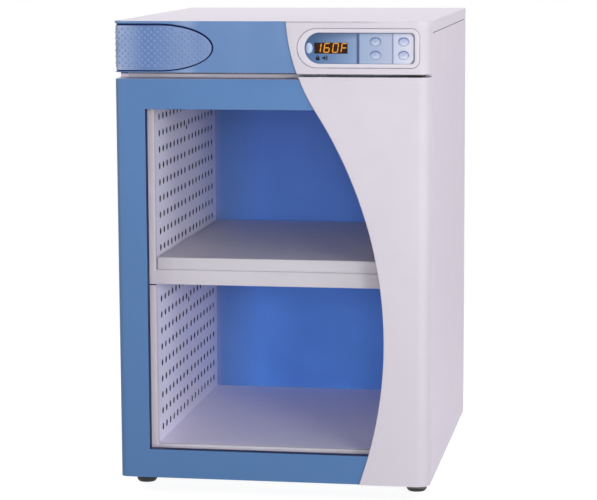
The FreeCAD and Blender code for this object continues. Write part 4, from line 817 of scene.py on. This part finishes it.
def film_colour(place):
    x, y, z = axes(place)
    rise = minus(z, PANEL_MIDDLE)
    rightward = calc("POWER", ranged(x, PANEL_LEFT + 0.004, BARS[0]), 1.4)
    # the left field is painted darker towards its top as the shadow of the bezel's rim, and darker towards
    # its left end
    left_field = tinted(
        rightward, tinted(ranged(rise, 0.0195, -0.018), (50, 82, 118), (76, 112, 158)),
        tinted(ranged(rise, 0.0190, 0.0120), (112, 128, 160), (135, 158, 194)))
    middle_field = tinted(ranged(x, BARS[1], BARS[2]), (154, 172, 204), (180, 187, 212))
    right_field = tinted(ranged(x, BARS[3], PANEL_RIGHT), (196, 202, 225), (224, 224, 236))
    # the pale fields are painted darker along their top as the shadow of the bezel's rim
    pale_side = tinted(ranged(rise, 0.022, 0.016, 0.35, 0.0),
                       tinted(above(x, (BARS[2] + BARS[3]) / 2), middle_field, right_field), (110, 122, 152))
    colour = tinted(above(x, (BARS[0] + BARS[1]) / 2), left_field, pale_side)
    for start, end, ink in ((BARS[0], BARS[1], (72, 92, 132)), (BARS[2], BARS[3], (142, 150, 180))):
        colour = tinted(times(above(x, start - 1e-5), under(x, end + 1e-5)), colour, ink)
    # a dark border is painted along the right end and, narrower, along the top, as the shadow of the bezel's
    # rim
    past_x = larger(minus(x, PANEL_RIGHT - CORNER_ROUND), 0.0)
    past_z = larger(minus(calc("ABSOLUTE", rise), PANEL_HALF - CORNER_ROUND), 0.0)
    reach = calc("SQRT", plus(times(past_x, past_x), times(past_z, past_z)))
    right_shadow = times(ranged(reach, CORNER_ROUND - 0.0030, CORNER_ROUND - 0.0012),
                         ranged(past_x, 0.0, 0.004))
    top_shadow = ranged(rise, PANEL_HALF - 0.0024, PANEL_HALF - 0.0010, 0.0, 0.8)
    return tinted(times(larger(right_shadow, top_shadow), 0.8), colour, (70, 78, 104))


panel_film = moulded("printed film", film_colour, (140, 156, 196), mottle=0.08, gloss=0.3, spread=0.1,
                     grain=0.0006, relief=0.000015)
softened("control_panel", "cabinet", "panel_film", [panel_film], 0.0002)


# ---- Display
# A four-digit amber LED module behind a smoked red-brown window; it shows the set temperature.
# Each digit is seven slanted bars, lit bars glow yellow in their middles and orange at their edges.
DISPLAY_X = PANEL_LEFT + 0.0374
DIGIT_PITCH = 0.0124
DIGIT_FIRST = -0.0184
DIGIT_WIDTH = 0.0088
DIGIT_HEIGHT = 0.0141
DIGIT_LIFT = 0.0004
BAR = 0.0016
SLANT = 0.14
SHOWN = ("bc", "acdefg", "abcdef", "aefg")


def window_colour(place):
    """Nearly black at its ends, and painted warmer in between as the glow of the lit digits."""
    x, y, z = axes(place)
    digit_glow = times(ranged(calc("ABSOLUTE", minus(x, DISPLAY_X)), 0.018, 0.024, 1.0, 0.0),
                   ranged(calc("ABSOLUTE", minus(z, PANEL_MIDDLE)), 0.0055, 0.0088, 1.0, 0.0))
    return tinted(digit_glow, (30, 28, 36), (62, 34, 16))


def painted(place, name):
    """The value that a mesh carries under a name."""
    return add(place.id_data, "ShaderNodeAttribute", {"attribute_name": name}).outputs["Fac"]


smoked = moulded("smoked window", window_colour, (30, 26, 30), mottle=0.5, gloss=0.45, spread=0.1,
                 grain=0.002, relief=0.00001, specular=0.12)
lit, shader, place = material("lit bar", Roughness=0.5, Specular_IOR_Level=0.1, Emission_Strength=1.0)
hot = painted(place, "heart")
feed(shader, Base_Color=tinted(hot, (90, 40, 8), (120, 70, 14)),
     Emission_Color=tinted(hot, (168, 92, 16), (226, 166, 72)))
unlit, shader, place = material("unlit bar", Roughness=0.5, Specular_IOR_Level=0.12)
feed(shader, Base_Color=tinted(noise(place, 900.0), (42, 26, 18), (52, 34, 24)))

softened("led_display", "cabinet", "display", [smoked])
display_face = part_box("led_display")[0].y


def bar_outline(bar):
    """Six corners of one bar of a digit, before it slants, about the digit's middle."""
    w, h, t = DIGIT_WIDTH / 2 - BAR / 2, DIGIT_HEIGHT / 2 - BAR / 2, BAR / 2 * 0.92
    level = {"a": h, "g": 0.0, "d": -h}
    if bar in level:
        z, x0, x1 = level[bar], NEAR - w, w - NEAR
        return [(x0, z), (x0 + t / 2, z + t), (x1 - t / 2, z + t), (x1, z), (x1 - t / 2, z - t),
                (x0 + t / 2, z - t)]
    x = w if bar in "bc" else -w
    z0, z1 = (0.0, h) if bar in "bf" else (-h, 0.0)
    return [(x, z0), (x + t, z0 + t / 2), (x + t, z1 - t / 2), (x, z1), (x - t, z1 - t / 2),
            (x - t, z0 + t / 2)]


digits = bmesh.new()
heart = digits.verts.layers.float.new("heart")
for number, bars in enumerate(SHOWN):
    middle = DISPLAY_X + DIGIT_FIRST + number * DIGIT_PITCH
    for bar in "abcdefg":
        outline = bar_outline(bar)
        cx, cz = sum(p[0] for p in outline) / 6, sum(p[1] for p in outline) / 6
        rims = []
        for share, rise, value in ((1.0, 0.0, 0.0), (1.0, 0.00012, 0.15), (0.45, 0.0002, 1.0)):
            ring = []
            for x, z in outline:
                # the inner outline keeps the bar's length and loses its width
                px = cx + (x - cx) * (share if bar in "bcef" else 0.5 + share / 2)
                pz = cz + (z - cz) * (share if bar in "adg" else 0.5 + share / 2)
                ring.append(digits.verts.new((middle + px + SLANT * pz, display_face - rise,
                                              PANEL_MIDDLE + DIGIT_LIFT + pz)))
                ring[-1][heart] = value
            rims.append(ring)
        faces = [digits.faces.new(rims[2])]
        for outer, inner in zip(rims, rims[1:]):
            faces += [digits.faces.new((outer[i], outer[(i + 1) % 6], inner[(i + 1) % 6], inner[i]))
                      for i in range(6)]
        faces.append(digits.faces.new(rims[0][::-1]))
        for face in faces:
            face.material_index = 0 if bar in bars else 1
bmesh.ops.recalc_face_normals(digits, faces=digits.faces)
piece("display_digits", meshed(digits, "display_digits"), "cabinet", "display", [lit, unlit])


# ---- Indicator lens, key caps and printed signs
# A clear oval lens over a white lamp, and four domed oval caps of the film's colour that press
# 0.6 mm; each sits in a pale blue ring, and small signs are printed on the film and caps.
KEY_WIDTH, KEY_HEIGHT = 0.0160, 0.0126
KEY_COLUMNS = (0.1011, 0.1412)         # from the panel's left end
KEY_ROWS = 0.0095                      # over and under its middle
CAP_DEPTHS = (0.0042, 0.0052)          # of the cap's rear and of its flange's, behind the film
FLANGE_SHARE, PLUNGER_SHARE = 0.594, 0.1
PRINT_COLUMNS = (0.0684, 0.0779)
PRINT_ROW = 0.6393
PRINT_SCALE = (1.25, 1.35)
PRINT = 0.00008                        # thickness of the ink


def oval(x, z, width, height, bands, sides=48):
    """A closed oval form of rings given as (share of its size, y, shift up, finish of the band before)."""
    work = bmesh.new()
    bearing = work.verts.layers.float.new("bearing")
    grid = []
    for share, y, shift, finish in bands:
        ring = []
        for i in range(sides):
            a = tau * i / sides
            ring.append(work.verts.new((x + share * width / 2 * cos(a), y,
                                        z + shift + share * height / 2 * sin(a))))
            ring[-1][bearing] = 0.5 + 0.5 * sin(a) * min(1.0, share / 0.8)
        grid.append(ring)
    for lower, upper, band_given in zip(grid, grid[1:], bands[1:]):
        for i in range(sides):
            face = work.faces.new((lower[i], lower[(i + 1) % sides], upper[(i + 1) % sides], upper[i]))
            face.material_index = band_given[3]
            face.smooth = True
    work.faces.new(grid[0][::-1])
    crown = work.faces.new(grid[-1])
    crown.material_index = bands[-1][3]
    crown.smooth = True
    return work


def dome(edge, face_y, crown, shift=0.0, finish=0, rings=6):
    """The crowned middle of an oval form, from its edge to near its axis."""
    return [(edge * (1 - i / rings), face_y + crown * (1 - i / rings) ** 2, shift * (1 - i / rings), finish)
            for i in range(rings)]


def flat_shape(work, outline, y, thick, index, x, z):
    """A thin printed shape: its outline in X and Z given a slight thickness."""
    back, front = ([work.verts.new((x + px, level, z + pz)) for px, pz in outline]
                   for level in (y, y - thick))
    n = len(outline)
    made = [work.faces.new(back[::-1]), work.faces.new(front)]
    made += [work.faces.new((back[i], back[(i + 1) % n], front[(i + 1) % n], front[i])) for i in range(n)]
    for face in made:
        face.material_index = index


def closed(work, name):
    """The mesh of a form whose faces all look outward."""
    bmesh.ops.recalc_face_normals(work, faces=work.faces)
    return meshed(work, name, 50)


lens_low, lens_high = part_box("indicator_lens")


# the lens is painted darker at its left and pale to the right, as shade and highlight on its dome
def lens_colour(place):
    return tinted(ranged(axes(place)[0], lens_low.x + 0.0020, lens_low.x + 0.0054), (118, 142, 176),
                  (190, 202, 224))


def cap_colour(place):
    """Painted darker above as shade and paler below as reflection; paler on the second pair, like the film.
    """
    low_side = ranged(painted(place, "bearing"), 0.1, 0.8)
    second_pair = above(axes(place)[0], BARS[2])
    return tinted(low_side, tinted(second_pair, (198, 205, 228), (214, 216, 237)),
                  tinted(second_pair, (150, 165, 198), (168, 178, 212)))


# the ring is painted darker towards its top as shade
def ring_colour(place):
    return tinted(ranged(painted(place, "bearing"), 0.2, 0.85), (146, 166, 206), (70, 98, 156))


lens_clear = moulded("lens", lens_colour, (176, 198, 230), gloss=0.3, spread=0.1, grain=0.002, relief=0.00001,
                     Coat_Weight=0.3, Coat_Roughness=0.15)
# its rim is painted darker as shade
lens_rim_shade = moulded("painted lens rim shade", (104, 130, 176), (92, 118, 166), gloss=0.5)
work = oval((lens_low.x + lens_high.x) / 2, (lens_low.z + lens_high.z) / 2, lens_high.x - lens_low.x,
            lens_high.z - lens_low.z,
            [(1.0, lens_high.y, 0.0, 0), (1.0, lens_low.y + 0.0014, 0.0, 1),
             (0.98, lens_low.y + 0.0012, 0.0, 1), (0.89, lens_low.y + 0.0010, 0.0, 1)]
            + dome(0.88, lens_low.y, 0.0008))
piece("indicator_lens_dome", closed(work, "indicator_lens_dome"), "cabinet", "lens", [lens_clear, lens_rim_shade],
      "indicator_lens")

cap_blue = moulded("key cap", cap_colour, (190, 202, 230), gloss=0.28, spread=0.1, grain=0.001,
                   relief=0.00001, specular=0.4)
ring_blue = moulded("key ring", ring_colour, (132, 158, 210), mottle=0.2, gloss=0.35, spread=0.1, grain=0.001,
                    relief=0.00001)
sign_ink = moulded("sign ink", (150, 166, 204), (138, 154, 194), gloss=0.5)
dark_ink = moulded("dark ink", (10, 18, 36), (20, 28, 48), gloss=0.7)


def disc(radius, sides=20, start=0.0, turn=tau):
    return [(radius * cos(start + turn * i / sides), radius * sin(start + turn * i / sides))
            for i in range(sides if turn == tau else sides + 1)]


def arrow(side):
    """A triangle that points up for 1 and down for -1."""
    return [(-0.0016, -0.0008 * side), (0.0016, -0.0008 * side), (0.0, 0.0016 * side)][::side]


def band(radius, width, start, turn, sides=18):
    """An open ring as an outline: out along its outer edge and back along its inner one."""
    return disc(radius, sides, start, turn) + disc(radius - width, sides, start, turn)[::-1]


BELL = [(-0.0014, -0.0009), (0.0014, -0.0009), (0.0009, -0.0001), (0.0009, 0.0007), (0.0, 0.0015),
        (-0.0009, 0.0007), (-0.0009, -0.0001)]
SWITCH = [band(0.0015, 0.0005, pi * 0.72, -pi * 1.44),
          [(-0.00025, 0.0002), (0.00025, 0.0002), (0.00025, 0.0018), (-0.00025, 0.0018)]]
SIGNS = {"key_alarm": [BELL], "key_up": [arrow(1)], "key_power": SWITCH, "key_down": [arrow(-1)]}
for number, (name, signs) in enumerate(SIGNS.items()):
    x = PANEL_LEFT + KEY_COLUMNS[number // 2]
    z = PANEL_MIDDLE + KEY_ROWS * (1 - 2 * (number % 2))
    low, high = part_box(name)
    # a rim flush with the film, a printed ring that is broad at the top, and the dome inside it
    work = oval(x, z, KEY_WIDTH, KEY_HEIGHT,
                [(1.0, PANEL_FACE + CAP_DEPTHS[0], 0.0, 0), (1.0, PANEL_FACE + 0.0002, 0.0, 0),
                 (0.98, PANEL_FACE - 0.00002, 0.0, 0), (0.93, PANEL_FACE - 0.00002, 0.0, 0),
                 (0.92, PANEL_FACE + NEAR, 0.0, 1), (0.80, PANEL_FACE + NEAR, -0.0004, 1)]
                + dome(0.77, low.y, PANEL_FACE - low.y - NEAR, -0.0004, 2))
    # the flange that holds the cap behind the plate, and the plunger that meets its switch
    for wide, tall, y0, y1 in (
            (FLANGE_SHARE * KEY_WIDTH, FLANGE_SHARE * KEY_HEIGHT, *CAP_DEPTHS),
            (PLUNGER_SHARE * KEY_WIDTH, PLUNGER_SHARE * KEY_WIDTH, CAP_DEPTHS[1], high.y - PANEL_FACE)):
        flat_shape(work, [(px * wide, pz * tall) for px, pz in disc(1.0, 40)], PANEL_FACE + y1, y1 - y0, 0,
                   x, z)
    for outline in signs:
        flat_shape(work, outline, low.y + 0.0003, 0.00033, 3, x, z)
    piece(name + "_cap", closed(work, name + "_cap"), name, "panel_film",
          [panel_film, ring_blue, cap_blue, sign_ink], name)

work = bmesh.new()
lock = [(-0.0022, -0.0026), (0.0022, -0.0026), (0.0022, 0.0007), (-0.0022, 0.0007)]
shackle = [(px, pz + 0.0007) for px, pz in band(0.0018, 0.0009, 0.0, pi, 12)]
horn = [(-0.0026, -0.0008), (-0.0012, -0.0008), (0.0008, -0.0026), (0.0008, 0.0026), (-0.0012, 0.0008),
        (-0.0026, 0.0008)]
waves = [[(px + 0.0004, pz) for px, pz in band(radius, 0.0010, -pi / 3.4, tau / 3.4, 10)]
         for radius in (0.0020, 0.0034)]
for x, outlines in zip(PRINT_COLUMNS, ((lock, shackle), (horn, *waves))):
    for outline in outlines:
        flat_shape(work, [(px * PRINT_SCALE[0], pz * PRINT_SCALE[1]) for px, pz in outline], PANEL_FACE,
                   PRINT, 0, x, PRINT_ROW)
piece("panel_print", closed(work, "panel_print"), "cabinet", "panel_film", [dark_ink])


# ---- Control board
# A glass-fibre circuit board on nylon posts behind the panel, with a small switch behind each key.
# Green solder resist over copper tracks, seen only with the header open.
circuit, shader, place = material("circuit board", Roughness=0.35, Coat_Weight=0.3)
flat_on = add(place.id_data, "ShaderNodeMapping", Vector=place, Rotation=(pi / 2, 0, 0)).outputs[0]
tracks = add(place.id_data, "ShaderNodeTexBrick", Vector=flat_on, Scale=60.0, Mortar_Size=0.03,
             Color1=srgb(22, 84, 52), Color2=srgb(18, 74, 46), Mortar=srgb(60, 124, 74)).outputs
feed(shader, Base_Color=tracks["Color"], Normal=bumped(tracks[1], 0.00003))
give(circuit, "control_board")
give(inlet_black, "key_switches")


# ---- Hinges
# Two zinc plated plates, one screwed up into the header and one under the base, each with a pin
# pressed in that the door's nylon bushes turn on.
hinge_zinc = plated("dull zinc plate", (128, 124, 118), (98, 95, 92), 0.0008, 0.42)
for node in ("upper_hinge", "lower_hinge"):
    softened(node, "cabinet", "zinc", [hinge_zinc], LINER_EDGE)
give(nylon, "hinge_bushes")


# ---- Door sheet and swept cover
# The front is one blue stoved steel sheet folded back on all sides, with the window cut out of it.
# The white moulding is clipped over its right side, and its long S-shaped edge is rounded.
DOOR_EDGE = 0.0005

# the blue is painted darker towards the bottom as shade
door_blue = coated(
    "door blue", lambda place: tinted(ranged(axes(place)[2], 0.04, 0.60), (78, 116, 163), (93, 131, 181)),
    (77, 113, 165), mottle=0.4, gloss=0.36, peel=0.0022, relief=0.00004)
skin = softened("door_skin", "door", "blue_paint", [door_blue, liner_enamel], DOOR_EDGE)
skin_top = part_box("door_skin")[1].z
for face in skin.data.polygons:
    # the top face is painted pale, as the reflection of the lit frame behind it
    face.material_index = int(face.normal.z > 0.9 and face.center.z > skin_top - DOOR_EDGE)
softened("door_cover", "door", "white_plastic", [white_moulding])


# ---- Inner tray and glass
# The inner tray is a folded enamelled channel whose ledge clamps a pane of 4 mm float glass.
# The pane is slightly smeared, and lets light through to the chamber.
softened("door_pan", "door", "liner_paint", [liner_enamel], LINER_EDGE)

CLEAR_GLASS = srgb(252, 253, 253)
glass, shader, place = material("float glass", Roughness=0.02, IOR=1.15, Transmission_Weight=1.0,
                                Base_Color=CLEAR_GLASS)
tree = glass.node_tree
feed(shader, Roughness=ranged(noise(place, 7.0, Detail=5.0, Distortion=1.2), 0.45, 0.85, 0.01, 0.05))
path = tree.nodes.new("ShaderNodeLightPath").outputs
clear = add(tree, "ShaderNodeBsdfTransparent", Color=CLEAR_GLASS).outputs[0]
pane = add(tree, "ShaderNodeMixShader", i0=larger(path["Is Shadow Ray"], path["Is Diffuse Ray"]),
           i1=shader.outputs[0], i2=clear).outputs[0]
feed(tree.nodes["Material Output"], Surface=pane)
give(glass, "window_glass")


# ---- Glazing seal and door gasket
# The pane sits in a black rubber channel, whose lip lines the window.
# A grey bellows gasket with a magnetic strip runs round the rear of the door and meets the face frame.
GASKET_WIDTH = 0.012
# its section: how far in from the outer edge, and how far from the tray, as shares
SECTION = [(0.0, 0.0), (1.0, 0.0), (1.0, 0.16), (0.90, 0.26), (0.97, 0.42), (0.90, 0.56), (0.94, 0.72),
           (0.86, 0.88), (0.70, 0.97), (0.50, 1.0), (0.30, 0.97), (0.14, 0.88), (0.06, 0.72), (0.10, 0.56),
           (0.03, 0.42), (0.10, 0.26), (0.0, 0.16)]

rubber_bloom, given, put = effect("Rubber bloom", Colour=(0.02, 0.02, 0.02, 1), Bloom=(0.1, 0.1, 0.1, 1),
                                  Amount=0.3, Gloss=0.6)
haze = noise(given["Vector"], 60.0, Detail=6.0, Roughness=0.65)
put(tinted(times(ranged(haze, 0.4, 0.75), given["Amount"]), given["Colour"], given["Bloom"]),
    plus(given["Gloss"], times(haze, 0.2)), haze)


def rubber(name, colour, bloom, amount):
    return surfaced(name, rubber_bloom, 0.00008, {}, Colour=colour, Bloom=bloom, Amount=amount, Gloss=0.5)


give(rubber("seal rubber", (36, 46, 84), (56, 66, 100), 0.5), "glazing_seal")

gasket_grey = rubber("gasket rubber", (168, 170, 178), (192, 194, 200), 0.6)
low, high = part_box("door_gasket")
work = bmesh.new()
corners = ((low.x, low.z, 1, 1), (high.x, low.z, -1, 1), (high.x, high.z, -1, -1), (low.x, high.z, 1, -1))
loops = [[work.verts.new((cx + sx * inward * GASKET_WIDTH, low.y + out * (high.y - low.y),
                          cz + sz * inward * GASKET_WIDTH)) for inward, out in SECTION]
         for cx, cz, sx, sz in corners]
for here, there in zip(loops, loops[1:] + loops[:1]):
    for i in range(len(SECTION)):
        j = (i + 1) % len(SECTION)
        work.faces.new((here[i], here[j], there[j], there[i])).smooth = True
piece("door_gasket_bellows", closed(work, "door_gasket_bellows"), "door", "grey_rubber", [gasket_grey],
      "door_gasket")


# ---- Studio
# A pale floor that keeps a soft shadow, eight large soft lamps and a white surround.
# The floor can be seen from above only, so that views from below show the base.
FLOOR_SIDE = 3.0


def looked_at(tree):
    """1 for a ray from the eye, straight, in a shine or through glass, and 0 for the rest."""
    path = tree.nodes.new("ShaderNodeLightPath").outputs
    return larger(path["Is Camera Ray"], larger(path["Is Glossy Ray"], path["Is Transmission Ray"]))


floor_mesh = bpy.data.meshes.new("floor")
floor_mesh.from_pydata([(x * FLOOR_SIDE, y * FLOOR_SIDE, 0) for x, y in ((-1, -1), (1, -1), (1, 1), (-1, 1))],
                       [], [(0, 1, 2, 3)])
floor = bpy.data.objects.new("floor", floor_mesh)
bpy.context.scene.collection.objects.link(floor)
floor_white, shader, place = material("studio floor", Roughness=0.9)
tree = floor_white.node_tree
feed(shader, Base_Color=tinted(noise(place, 3.0, Detail=2.0), (130, 130, 132), (134, 134, 136)))
shine = add(tree, "ShaderNodeEmission", Color=(1, 1, 1, 1), Strength=times(looked_at(tree), 0.88)).outputs[0]
lifted = add(tree, "ShaderNodeAddShader", i0=shader.outputs[0], i1=shine).outputs[0]
gone = larger(tree.nodes.new("ShaderNodeNewGeometry").outputs["Backfacing"], ranged(length(place), 0.6, 1.5))
feed(tree.nodes["Material Output"],
     Surface=add(tree, "ShaderNodeMixShader", i0=gone, i1=lifted,
                 i2=add(tree, "ShaderNodeBsdfTransparent").outputs[0]).outputs[0])
floor_mesh.materials.append(floor_white)

world = bpy.data.worlds.new("studio")
bpy.context.scene.world = world
world.use_nodes = True
tree = world.node_tree
tree.nodes.clear()
light = add(tree, "ShaderNodeBackground", Color=(0.97, 0.98, 1.0, 1), Strength=0.16).outputs[0]
white = add(tree, "ShaderNodeBackground", Color=(1, 1, 1, 1), Strength=1.0).outputs[0]
add(tree, "ShaderNodeOutputWorld",
    Surface=add(tree, "ShaderNodeMixShader", i0=looked_at(tree), i1=light, i2=white).outputs[0])

LAMPS = (
    ("front", (0.5, -4.4, 0.78), (0.0, -0.1, 0.4), 1.2, 60.0),
    ("front right", (2.3, -3.6, 0.9), (0.0, -0.1, 0.4), 1.2, 62.0),
    ("key", (1.7, -2.3, 2.4), (0.0, -0.1, 0.4), 1.2, 8.0),
    ("right fill", (3.7, -2.0, 0.9), (0.0, -0.1, 0.4), 1.4, 36.0),
    ("left fill", (-2.9, -2.2, 0.62), (0.0, 0.0, 0.5), 1.2, 14.0),
    ("left rear", (-3.0, 2.8, 2.2), (0.0, 0.0, 0.35), 1.6, 110.0),
    ("right rear", (2.8, 3.2, 2.4), (0.0, 0.0, 0.35), 1.6, 55.0),
    ("top", (0.1, 0.2, 3.4), (0.0, 0.0, 0.4), 2.0, 33.0),
)
for name, stand, aim, size, power in LAMPS:
    lamp = bpy.data.lights.new(name, "AREA")
    lamp.shape, lamp.size, lamp.energy = "SQUARE", size, power
    held = bpy.data.objects.new(name, lamp)
    bpy.context.scene.collection.objects.link(held)
    held.location = stand
    held.rotation_mode = "QUATERNION"
    held.rotation_quaternion = (Vector(aim) - Vector(stand)).to_track_quat("-Z", "Y")
    held.visible_camera = False
    # the level lamps in front would glare on the lid seen from behind
    held.visible_glossy = not name.startswith(("front", "right fill"))


# ---- Camera
# A little above the top of the cabinet, off to its right and well back, through a long lens.
# The view is a rotation given by its right, down and forward directions.
camera = bpy.data.objects.new("camera", bpy.data.cameras.new("camera"))
bpy.context.scene.collection.objects.link(camera)
camera.data.sensor_width = 36.0
camera.data.sensor_fit = "HORIZONTAL"
camera.data.lens = 136.75
camera.data.shift_x = 0.001
right = Vector((0.986149, 0.165783, -0.005140))
down = Vector((0.018505, -0.140766, -0.989870))
ahead = Vector((-0.164827, 0.976064, -0.141882))
turned = Matrix((right, -down, -ahead)).transposed()
camera.matrix_world = Matrix.Translation((0.5761, -3.4466, 0.8262)) @ turned.to_4x4()
camera.data.clip_end = 60.0
bpy.context.scene.camera = camera
bpy.context.scene.view_settings.view_transform = "Standard"
